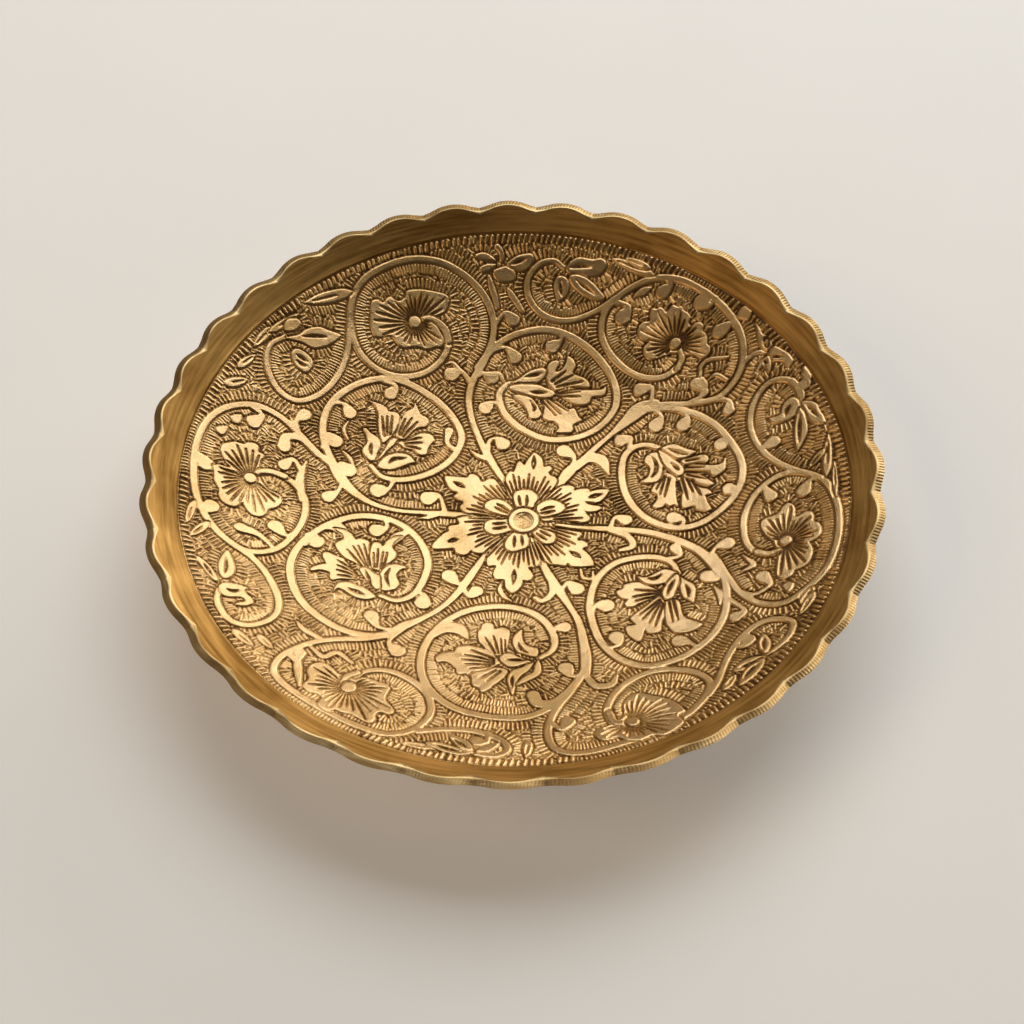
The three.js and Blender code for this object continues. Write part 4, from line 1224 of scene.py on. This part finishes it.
brassTint = (1.0, 0.86, 0.62, 1.0)
dishFinish = {
    "worn": (0.65, 0.395, 0.152), "middle": (0.56, 0.325, 0.092), "deep": (0.27, 0.127, 0.028),
    "patinaAndShade": (0.075, 0.031, 0.005), "polish": 0.31, "dull": 0.42, "patinaRoughness": 0.56,
    "specular": 0.25,
    "blotchSize": 70.0, "blotchShift": (0.36, 0.70, -0.16, 0.24),
    "blotchRoughness": (0.0, 1.0, -0.02, 0.05),
    "grainSize": 2300.0, "grainShift": (0.36, 0.66, -0.10, 0.14), "grainDepth": 0.00014,
    "grainStrength": 0.62,
    "patinaMetal": (0.5, 1.0, 1.0, 0.7), "skin": (0.1, 0.8, 1.0, 0.1), "skinRoughness": 0.28,
    "skinIor": 1.6,
    "scratchDepth": 0.00002, "scratchStrength": 0.2,
}


def makeDishFinish():
    material, tree, shader = newMaterial("chased brass")
    link = tree.links.new
    shader.inputs["Specular Tint"].default_value = brassTint
    shader.inputs["Specular IOR Level"].default_value = dishFinish["specular"]
    # the mask holds the patina in the grooves and painted shade towards the far right side
    dirtAndShade = addNode(tree, "ShaderNodeAttribute", attribute_name="patinaAndShade")
    wear = useGroup(tree, handling, Blotch_Size=dishFinish["blotchSize"],
                    Grain_Size=dishFinish["grainSize"])
    # patina settles in the grooves, a little further out in places
    spreadOut = mapNode(tree, wear.outputs["Blotches"], dishFinish["blotchShift"])
    grainShift = mapNode(tree, wear.outputs["Grain"], dishFinish["grainShift"])
    shifted = addNode(tree, "ShaderNodeMath", operation="ADD")
    link(dirtAndShade.outputs["Fac"], shifted.inputs[0])
    link(spreadOut.outputs[0], shifted.inputs[1])
    patinaAndShadeLevel = addNode(tree, "ShaderNodeMath", operation="ADD", use_clamp=True)
    link(shifted.outputs[0], patinaAndShadeLevel.inputs[0])
    link(grainShift.outputs[0], patinaAndShadeLevel.inputs[1])
    colour = rampNode(tree, [(0.05, dishFinish["worn"]), (0.34, dishFinish["middle"]),
                             (0.7, dishFinish["deep"]), (0.95, dishFinish["patinaAndShade"])])
    link(patinaAndShadeLevel.outputs[0], colour.inputs["Fac"])
    link(colour.outputs["Color"], shader.inputs["Base Color"])
    rough = rampNode(tree, [(0.0, (dishFinish["polish"],) * 3), (0.4, (dishFinish["dull"],) * 3),
                            (1.0, (dishFinish["patinaRoughness"],) * 3)])
    link(patinaAndShadeLevel.outputs[0], rough.inputs["Fac"])
    roughShift = mapNode(tree, wear.outputs["Blotches"], dishFinish["blotchRoughness"])
    roughSum = addNode(tree, "ShaderNodeMath", operation="ADD", use_clamp=True)
    link(rough.outputs["Color"], roughSum.inputs[0])
    link(roughShift.outputs[0], roughSum.inputs[1])
    link(roughSum.outputs[0], shader.inputs["Roughness"])
    metal = mapNode(tree, patinaAndShadeLevel.outputs[0], dishFinish["patinaMetal"])
    link(metal.outputs[0], shader.inputs["Metallic"])
    # rubbed metal has a thin glassy skin, the patina has none
    skinShare = mapNode(tree, patinaAndShadeLevel.outputs[0], dishFinish["skin"])
    link(skinShare.outputs[0], shader.inputs["Coat Weight"])
    shader.inputs["Coat Roughness"].default_value = dishFinish["skinRoughness"]
    shader.inputs["Coat IOR"].default_value = dishFinish["skinIor"]
    bump = addNode(tree, "ShaderNodeBump", in_Strength=dishFinish["grainStrength"],
                   in_Distance=dishFinish["grainDepth"])
    link(wear.outputs["Grain"], bump.inputs["Height"])
    scratch = addNode(tree, "ShaderNodeBump", in_Strength=dishFinish["scratchStrength"],
                      in_Distance=dishFinish["scratchDepth"], invert=True)
    link(wear.outputs["Scratches"], scratch.inputs["Height"])
    link(bump.outputs[0], scratch.inputs["Normal"])
    link(scratch.outputs[0], shader.inputs["Normal"])
    return material


turnedFinishes = {
    "band": {"bright": (0.54, 0.305, 0.09), "dark": (0.25, 0.122, 0.026), "pitch": 0.00035,
             "depth": 0.00014,
             "smooth": 0.50, "rough": 0.66},
    "lip": {"bright": (0.66, 0.46, 0.21), "dark": (0.32, 0.19, 0.07), "pitch": 0.0005, "depth": 0.00003,
            "smooth": 0.32, "rough": 0.48},
    "under": {"bright": (0.62, 0.41, 0.165), "dark": (0.45, 0.285, 0.105), "pitch": 0.0006,
              "depth": 0.00006,
              "smooth": 0.27, "rough": 0.44},
    "foot": {"bright": (0.65, 0.44, 0.18), "dark": (0.42, 0.27, 0.10), "pitch": 0.0003, "depth": 0.00004,
             "smooth": 0.26, "rough": 0.42},
    "solder": {"bright": (0.50, 0.47, 0.41), "dark": (0.24, 0.21, 0.17), "pitch": 0.0009, "depth": 0.00008,
               "smooth": 0.45, "rough": 0.62},
}


def makeTurnedFinish(name, look, maskName=None):
    material, tree, shader = newMaterial(name)
    link = tree.links.new
    shader.inputs["Metallic"].default_value = 1.0
    shader.inputs["Specular Tint"].default_value = brassTint
    marks = useGroup(tree, turningMarks, Pitch=look["pitch"], Waver=1.2)
    wear = useGroup(tree, handling, Blotch_Size=30.0, Grain_Size=900.0)
    blend = addNode(tree, "ShaderNodeMath", operation="MULTIPLY_ADD")
    blend.inputs[1].default_value = 0.45
    link(marks.outputs["Streaks"], blend.inputs[0])
    blotch = addNode(tree, "ShaderNodeMath", operation="MULTIPLY")
    blotch.inputs[1].default_value = 0.55
    link(wear.outputs["Blotches"], blotch.inputs[0])
    link(blotch.outputs[0], blend.inputs[2])
    level = blend.outputs[0]
    if maskName:
        # the lip's mask darkens its colour: grime in the ridge valleys and painted shade on its
        # outward-leaning side
        dirtAndShade = addNode(tree, "ShaderNodeAttribute", attribute_name=maskName)
        more = addNode(tree, "ShaderNodeMath", operation="MULTIPLY_ADD", use_clamp=True)
        more.inputs[1].default_value = 0.35
        link(dirtAndShade.outputs["Fac"], more.inputs[0])
        link(level, more.inputs[2])
        level = more.outputs[0]
    colour = rampNode(tree, [(0.40, look["bright"]), (0.62, look["dark"])])
    link(level, colour.inputs["Fac"])
    link(colour.outputs["Color"], shader.inputs["Base Color"])
    rough = mapNode(tree, level, (0.3, 0.75, look["smooth"], look["rough"]))
    link(rough.outputs[0], shader.inputs["Roughness"])
    bump = addNode(tree, "ShaderNodeBump", in_Strength=0.5, in_Distance=look["depth"])
    link(marks.outputs["Height"], bump.inputs["Height"])
    scratch = addNode(tree, "ShaderNodeBump", in_Strength=0.3, in_Distance=0.00003, invert=True)
    link(wear.outputs["Scratches"], scratch.inputs["Height"])
    link(bump.outputs[0], scratch.inputs["Normal"])
    link(scratch.outputs[0], shader.inputs["Normal"])
    return material


chasedBrass = makeDishFinish()
print("finishes made")

lip = {
    "rounding": 0.26, "valleyRounding": 0.38, "roundingSteps": 5, "ridgesPerLobe": 19, "ridgeDepth": 0.1,
    "notch": 0.08, "slant": 0.4, "level": 0.6, "levelAt": -0.25, "levelSpread": 0.4, "crispAt": 0.6,
    "steps": (0.12, 0.3, 0.5, 0.7, 0.88, 1),
}


def lipRounding(angle):
    return lip["rounding"] + lip["valleyRounding"] * valleyShare(angle)

# Inside of the dish: the bowl with its pattern, and the plain band up to the lip
# darker spots added to the patina: x, y, size and how strong; the patina is also scaled towards the far
# right side as painted shade
shadeAndSpots = {"even": 0.90, "lean": 0.13, "spots": (
    (-14, -7.5, 8, 0.45), (-15, 3, 6, 0.3), (-1, 54, 9, 0.25), (7, -60, 9, 0.2), (42, 31, 8, 0.25),
    (-58, 51, 12, 0.25), (-30, 66, 12, 0.3), (0, 76, 12, 0.25), (66, -38, 12, 0.25), (54, -54, 12, 0.2),
    (76, -2, 10, 0.25), (-76, -12, 9, 0.25))}
reliefLook = {
    "ripple": 0.09, "rippleCell": 4.6, "hammer": 0.022, "hammerCell": 1.2, "stipple": 0.06,
    "stippleCell": 0.4,
}
patinaLook = {
    "from": 0.125, "over": 0.245, "share": 0.86, "hollowShare": 0.12, "hollowPasses": 6, "hollowFrom": 0.06,
    "hollowOver": 0.25, "dimple": 0.3,
}
relief = blurred(relief, 1)
relief = relief + reliefLook["ripple"] * softNoise(5, reliefLook["rippleCell"]) * (relief > -0.2)
relief = relief + reliefLook["hammer"] * softNoise(6, reliefLook["hammerCell"])
relief = relief + reliefLook["stipple"] * softNoise(7, reliefLook["stippleCell"]) * (relief < -0.25)
relief = np.minimum(relief, 0)
patinaAndShade = np.clip((-relief - patinaLook["from"]) / patinaLook["over"], 0, 1)
hollows = blurred(-relief, patinaLook["hollowPasses"]) - patinaLook["hollowFrom"]
hollows = np.clip(hollows / patinaLook["hollowOver"], 0, 1)
patinaAndShade = patinaLook["share"] * patinaAndShade + patinaLook["hollowShare"] * hollows
# the dimple in the middle is as worn as the rest
axisDistance = np.hypot(axisMm[None, :] - rosette["x"], axisMm[:, None] - rosette["y"])
patinaAndShade = np.where(axisDistance < rosette["dimpleRadius"], patinaLook["dimple"], patinaAndShade)
# painted shade: the mask grows towards the far right side of the dish and shrinks towards the near left
patinaAndShade *= shadeAndSpots["even"] + shadeAndSpots["lean"] * np.clip(axisMm[None, :] + axisMm[:, None], -100, 100) / 100
for x, y, size, amount in shadeAndSpots["spots"]:
    nearby = np.clip(1 - np.hypot(axisMm[None, :] - x, axisMm[:, None] - y) / size, 0, 1)
    patinaAndShade += amount * nearby * nearby * (3 - 2 * nearby)


def makeInside():
    rings = [np.array([[0, 0, floorHeight + relief[side // 2, side // 2]]])]
    radii = np.arange(reliefMesh["ringStep"], borderRadius - 0.05, reliefMesh["ringStep"])
    for r in radii:
        points = ringPoints(r, float(innerHeight(r)), ringCount(r))
        slope = float(innerSlope(r))
        h = sampleCanvas(relief, points[:, 0], points[:, 1])
        # the pattern is cut square to the wall
        outwards = points[:, :2] / r
        lean = 1 / math.hypot(1, slope)
        points[:, :2] -= outwards * (h * slope * lean)[:, None]
        points[:, 2] += h * lean
        rings.append(points)
    count = ringCount(borderRadius)
    angle = 2 * np.pi * np.arange(count) / count
    edgeReach = lobeReach(angle, dish["lobeArc"] - lipRounding(angle))
    # near the border the band is round, and it takes on the lobes towards the lip
    for t in np.linspace(0.0, 1.0, reliefMesh["bandRings"])[:-1]:
        r = borderRadius + t * (edgeReach - borderRadius)
        rings.append(np.column_stack([r * np.cos(angle), r * np.sin(angle), innerHeight(r)]))
    angle = 2 * np.pi * np.arange(2 * count) / (2 * count)
    r = lobeReach(angle, dish["lobeArc"] - lipRounding(angle))
    rings.append(np.column_stack([r * np.cos(angle), r * np.sin(angle), innerHeight(r)]))
    inside = skin("dish_inside", rings, chasedBrass)
    every = np.vstack(rings)
    mask = sampleCanvas(patinaAndShade, every[:, 0], every[:, 1])
    mask[np.hypot(every[:, 0], every[:, 1]) > borderRadius - 0.1] = 0.0
    pointMask(inside, "patinaAndShade", mask)
    flatUv(inside, reliefMesh["uvWidth"])
    inside.data.materials.append(makeTurnedFinish("brushed band", turnedFinishes["band"]))
    loopStart = np.empty(len(inside.data.polygons), np.int32)
    inside.data.polygons.foreach_get("loop_start", loopStart)
    corner = np.empty(len(inside.data.loops), np.int32)
    inside.data.loops.foreach_get("vertex_index", corner)
    first = every[corner[loopStart]]
    bandStart = borderLine(np.arctan2(first[:, 1], first[:, 0])) - reliefMesh["bandLap"]
    beyond = np.hypot(first[:, 0], first[:, 1]) > bandStart
    inside.data.polygons.foreach_set("material_index", beyond.astype(np.int32))
    return inside


inside = makeInside()
print("dish inside:", len(inside.data.vertices), "points")

# Lip edge: nearly level, rounded off towards the band and cut with fine ridges across it
def makeLip():
    count = dish["lobes"] * reliefMesh["lipSamples"]
    angle = 2 * np.pi * np.arange(count) / count
    ridges = dish["lobes"] * lip["ridgesPerLobe"]
    strength = np.random.default_rng(21).uniform(0.5, 1.0, ridges)
    shift = np.random.default_rng(22).uniform(-0.06, 0.06, ridges)

    def ridgeValleys(t):
        near = angle / (2 * np.pi) * ridges + lip["slant"] * t
        k = np.floor(near).astype(int) % ridges
        return (0.5 + 0.5 * np.cos(2 * np.pi * (near - np.floor(near) + shift[k]))) ** 1.5 * strength[k]

    def lipPoint(arc, heightAt):
        r = lobeReach(angle, arc)
        return np.column_stack([r * np.cos(angle), r * np.sin(angle), heightAt(r)])

    rounding = lipRounding(angle)
    start = lipPoint(dish["lobeArc"] - rounding, innerHeight)
    corner = lipPoint(dish["lobeArc"], innerHeight)
    outer = lipPoint(dish["lobeArc"] + dish["lipWidth"], outerHeight)
    # the file left the edge level and sharply ridged on one side, leaning outwards and smooth on the other
    levelShare = (0.5 + 0.5 * np.cos(angle - lip["levelAt"])) ** lip["levelSpread"]
    crisp = 0.6 + 0.4 * np.cos(angle - lip["crispAt"])
    outer[:, 2] += lip["level"] * levelShare * (1 - 0.5 * valleyShare(angle))
    land = corner + (outer - corner) * rounding[:, None] / dish["lipWidth"]
    rings = []
    grimeAndShade = []
    for t in np.linspace(0, 1, lip["roundingSteps"]):
        rings.append((1 - t) ** 2 * start + 2 * t * (1 - t) * corner + t * t * land)
        grimeAndShade.append(0 * angle)
    for t in lip["steps"]:
        points = land + t * (outer - land)
        share = min(1, t / 0.25)
        valley = ridgeValleys(t) * crisp
        points[:, 2] -= valley * share * lip["ridgeDepth"]
        if t > 0.8:
            inwards = valley * lip["notch"] * (t - 0.8) / 0.2
            points[:, 0] -= np.cos(angle) * inwards
            points[:, 1] -= np.sin(angle) * inwards
        rings.append(points)
        # grime in the ridge valleys, and painted shade on the side where the lip leans outwards
        grimeAndShade.append(np.maximum(valley * share, 1.3 * (1 - levelShare) * t))
    piece = skin("lip_edge", rings, makeTurnedFinish("filed lip", turnedFinishes["lip"], "grime_and_shade"))
    pointMask(piece, "grime_and_shade", np.concatenate(grimeAndShade))
    flatUv(piece, reliefMesh["uvWidth"])
    return piece, rings[-1]


lipEdge, lipOutside = makeLip()
print("lip edge:", len(lipEdge.data.vertices), "points")

# Underside, down to the seat that the foot is soldered to
under = {"wallRings": 60}


def makeUnderside():
    count = ringCount(borderRadius)
    angle = 2 * np.pi * np.arange(count) / count
    rim = lobeReach(angle, dish["lobeArc"] + dish["lipWidth"])
    rings = [lipOutside]
    for t in np.linspace(0.06, 1, 18):
        r = rim + t * (borderRadius - rim)
        rings.append(np.column_stack([r * np.cos(angle), r * np.sin(angle), outerHeight(r)]))
    for r in np.linspace(borderRadius, seatOuter + dish["seatChamfer"], under["wallRings"])[1:]:
        rings.append(ringPoints(r, float(outerHeight(r)), count // 2))
    seat = float(outerHeight(seatInner))
    for r in np.linspace(seatOuter, seatInner, 12):
        rings.append(ringPoints(r, seat, count // 2))
    for r in np.linspace(seatInner, 2, 30)[1:]:
        rings.append(ringPoints(r, float(outerHeight(r)), count // 2))
    rings.append(np.array([[0, 0, float(outerHeight(0.0))]]))
    piece = skin("dish_underside", rings, makeTurnedFinish("turned underside", turnedFinishes["under"]))
    flatUv(piece, reliefMesh["uvWidth"])
    return piece


underside = makeUnderside()

# Foot ring and its solder line, turned from a section of radius and height corners
turned = {"segments": 432, "arcSteps": 4, "footRounding": 0.12, "solderRounding": 0.1}


def roundedSection(corners, rounding):
    section = []
    n = len(corners)
    for i in range(n):
        before, here, after = (np.array(corners[(i + k) % n], float) for k in (-1, 0, 1))
        inwards = (before - here) / np.linalg.norm(before - here)
        onwards = (after - here) / np.linalg.norm(after - here)
        size = min(rounding, 0.4 * np.linalg.norm(before - here), 0.4 * np.linalg.norm(after - here))
        for t in np.linspace(0, 1, turned["arcSteps"]):
            section.append((1 - t) ** 2 * (here + inwards * size) + 2 * t * (1 - t) * here
                           + t * t * (here + onwards * size))
    return section


def makeTurned(name, corners, material, rounding):
    section = roundedSection(corners, rounding)
    rings = [ringPoints(r, z, turned["segments"]) for r, z in section + section[:1]]
    starts = np.arange(len(section)) * turned["segments"]
    i = np.arange(turned["segments"])
    n = (i + 1) % turned["segments"]
    faces = []
    for k in range(len(section)):
        a, b = starts[k], starts[(k + 1) % len(section)]
        faces.append(np.column_stack([a + i, a + n, b + n, b + i]))
    return meshObject(name, np.vstack(rings[:-1]), faces, material)


seatLevel = float(outerHeight(seatInner))
footIn = dish["footSeat"] - dish["footWall"]
footToe = dish["footSeat"] + dish["footFlare"]
foot = makeTurned("foot_ring_turned", [
    (footIn + dish["footChamfer"], 0), (footToe - dish["footChamfer"], 0), (footToe, dish["footChamfer"]),
    (dish["footSeat"], seatLevel), (footIn, seatLevel), (footIn, dish["footChamfer"])],
    makeTurnedFinish("turned foot", turnedFinishes["foot"]), turned["footRounding"])
legDown = np.array([footToe - dish["footSeat"], dish["footChamfer"] - seatLevel])
legDown = legDown / np.linalg.norm(legDown) * dish["solderLeg"]
solder = makeTurned("solder_line", [
    (dish["footSeat"] + legDown[0], seatLevel + legDown[1]),
    (dish["footSeat"] + dish["solderLeg"], seatLevel), (dish["footSeat"], seatLevel)],
    makeTurnedFinish("soft solder", turnedFinishes["solder"]), turned["solderRounding"])
print("underside, foot and solder made")

for piece, node, slotName in ((inside, "dish_body", "dish_brass"), (lipEdge, "dish_body", "dish_brass"),
                              (underside, "dish_body", "dish_brass"), (foot, "foot_ring", "foot_brass"),
                              (solder, "solder_seam", "solder")):
    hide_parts(node)
    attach(piece, "root")

# Floor, lamps, world and camera
studio = {
    "floorSize": 14.0, "floorColour": (0.905, 0.875, 0.825), "seenFloor": 0.2, "farFloor": 0.8,
    "farFrom": (1.2, 2.7),
    "worldColour": (0.90, 0.74, 0.54), "worldStrength": 0.04,
    "wallColour": (0.86, 0.83, 0.78), "wallStrength": 0.85, "wallTop": (0.2, 0.38),
    "wallMirrored": 0.1,
    "key": {"at": (0.17, 1.00, 1.24), "size": (1.70, 0.95), "watts": 15.2, "colour": (0.95, 0.98, 1.0)},
    "side": {"at": (0.87, 1.29, 0.37), "size": (1.15, 0.7), "watts": 4.7, "colour": (1.0, 0.98, 0.93),
             "spread": 120},
    "fill": {"at": (-1.18, -0.45, 1.00), "size": (0.8, 0.7), "watts": 4.8, "colour": (1.0, 0.72, 0.43)},
}


def addLamp(name):
    lamp = studio[name]
    data = bpy.data.lights.new(name, "AREA")
    data.shape = "RECTANGLE"
    data.size, data.size_y = lamp["size"]
    data.energy = lamp["watts"]
    data.color = lamp["colour"]
    data.spread = math.radians(lamp.get("spread", 180))
    light = bpy.data.objects.new(name, data)
    light.location = lamp["at"]
    light.rotation_euler = (Vector(lamp["at"]) - Vector((0, 0, 0.01))).to_track_quat("Z", "Y").to_euler()
    bpy.context.scene.collection.objects.link(light)


def makeFloor():
    material, tree, shader = newMaterial("pale floor")
    link = tree.links.new
    shader.inputs["Roughness"].default_value = 0.85
    place = addNode(tree, "ShaderNodeTexCoord")
    mottle = addNode(tree, "ShaderNodeTexNoise", in_Scale=14.0, in_Detail=5.0)
    link(place.outputs["Object"], mottle.inputs["Vector"])
    base = studio["floorColour"]
    colour = rampNode(tree, [(0.3, tuple(0.975 * c for c in base)), (0.7, base)])
    link(mottle.outputs["Fac"], colour.inputs["Fac"])
    link(colour.outputs["Color"], shader.inputs["Base Color"])
    # the floor looks a little paler to the camera, and keeps its shadow
    path = addNode(tree, "ShaderNodeLightPath")
    seen = addNode(tree, "ShaderNodeMath", operation="MAXIMUM")
    link(path.outputs["Is Camera Ray"], seen.inputs[0])
    link(path.outputs["Is Glossy Ray"], seen.inputs[1])
    # further out, where the lamps do not reach, it turns into the pale wall
    out = addNode(tree, "ShaderNodeVectorMath", operation="LENGTH")
    link(place.outputs["Object"], out.inputs[0])
    near, far = studio["farFrom"]
    fade = addNode(tree, "ShaderNodeMapRange", interpolation_type="SMOOTHSTEP", in_1=near, in_2=far,
                   in_3=studio["seenFloor"], in_4=studio["farFloor"])
    link(out.outputs["Value"], fade.inputs[0])
    lift = addNode(tree, "ShaderNodeMath", operation="MULTIPLY")
    link(fade.outputs[0], lift.inputs[1])
    link(seen.outputs[0], lift.inputs[0])
    shader.inputs["Emission Color"].default_value = (*base, 1)
    link(lift.outputs[0], shader.inputs["Emission Strength"])
    half = studio["floorSize"] / 2 / mm
    corners = np.array([[-half, -half, 0], [half, -half, 0], [half, half, 0], [-half, half, 0]])
    floor = meshObject("floor", corners, [np.array([[0, 1, 2, 3]])], material)


def makeWorld():
    world = bpy.data.worlds.new("studio")
    bpy.context.scene.world = world
    world.use_nodes = True
    tree = world.node_tree
    link = tree.links.new
    around = tree.nodes["Background"]
    around.inputs["Color"].default_value = (*studio["worldColour"], 1)
    around.inputs["Strength"].default_value = studio["worldStrength"]
    # pale walls round the table, for the camera and for what the metal mirrors low down
    walls = addNode(tree, "ShaderNodeBackground", in_Color=(*studio["wallColour"], 1),
                    in_Strength=studio["wallStrength"])
    place = addNode(tree, "ShaderNodeTexCoord")
    parts = addNode(tree, "ShaderNodeSeparateXYZ")
    link(place.outputs["Generated"], parts.inputs[0])
    height = mapNode(tree, parts.outputs["Z"], (*studio["wallTop"], 1.0, 0.0))
    path = addNode(tree, "ShaderNodeLightPath")
    mirrored = addNode(tree, "ShaderNodeMath", operation="MULTIPLY", in_1=studio["wallMirrored"])
    link(path.outputs["Is Glossy Ray"], mirrored.inputs[0])
    seen = addNode(tree, "ShaderNodeMath", operation="MAXIMUM")
    link(path.outputs["Is Camera Ray"], seen.inputs[0])
    link(mirrored.outputs[0], seen.inputs[1])
    share = addNode(tree, "ShaderNodeMath", operation="MULTIPLY")
    link(height.outputs[0], share.inputs[0])
    link(seen.outputs[0], share.inputs[1])
    mixed = addNode(tree, "ShaderNodeMixShader")
    link(share.outputs[0], mixed.inputs[0])
    link(around.outputs[0], mixed.inputs[1])
    link(walls.outputs[0], mixed.inputs[2])
    link(mixed.outputs[0], tree.nodes["World Output"].inputs["Surface"])


makeFloor()
makeWorld()
for lampName in ("key", "side", "fill"):
    addLamp(lampName)

view = {
    "at": (2.4218, -274.4881, 370.3540), "lens": 64.587,
    "right": (0.99996866, 0.00782493, -0.00120031), "up": (-0.00553868, 0.79986458, 0.60015496),
    "back": (0.00565625, -0.60012951, 0.79988285),
}
cameraData = bpy.data.cameras.new("camera")
cameraData.lens = view["lens"]
cameraData.sensor_width = 36
cameraData.clip_start = 0.01
camera = bpy.data.objects.new("camera", cameraData)
turnMatrix = Matrix((view["right"], view["up"], view["back"])).transposed().to_4x4()
camera.matrix_world = Matrix.Translation(Vector(view["at"]) * mm) @ turnMatrix
bpy.context.scene.collection.objects.link(camera)
bpy.context.scene.camera = camera
bpy.context.scene.view_settings.view_transform = "Standard"


print("scene ready")
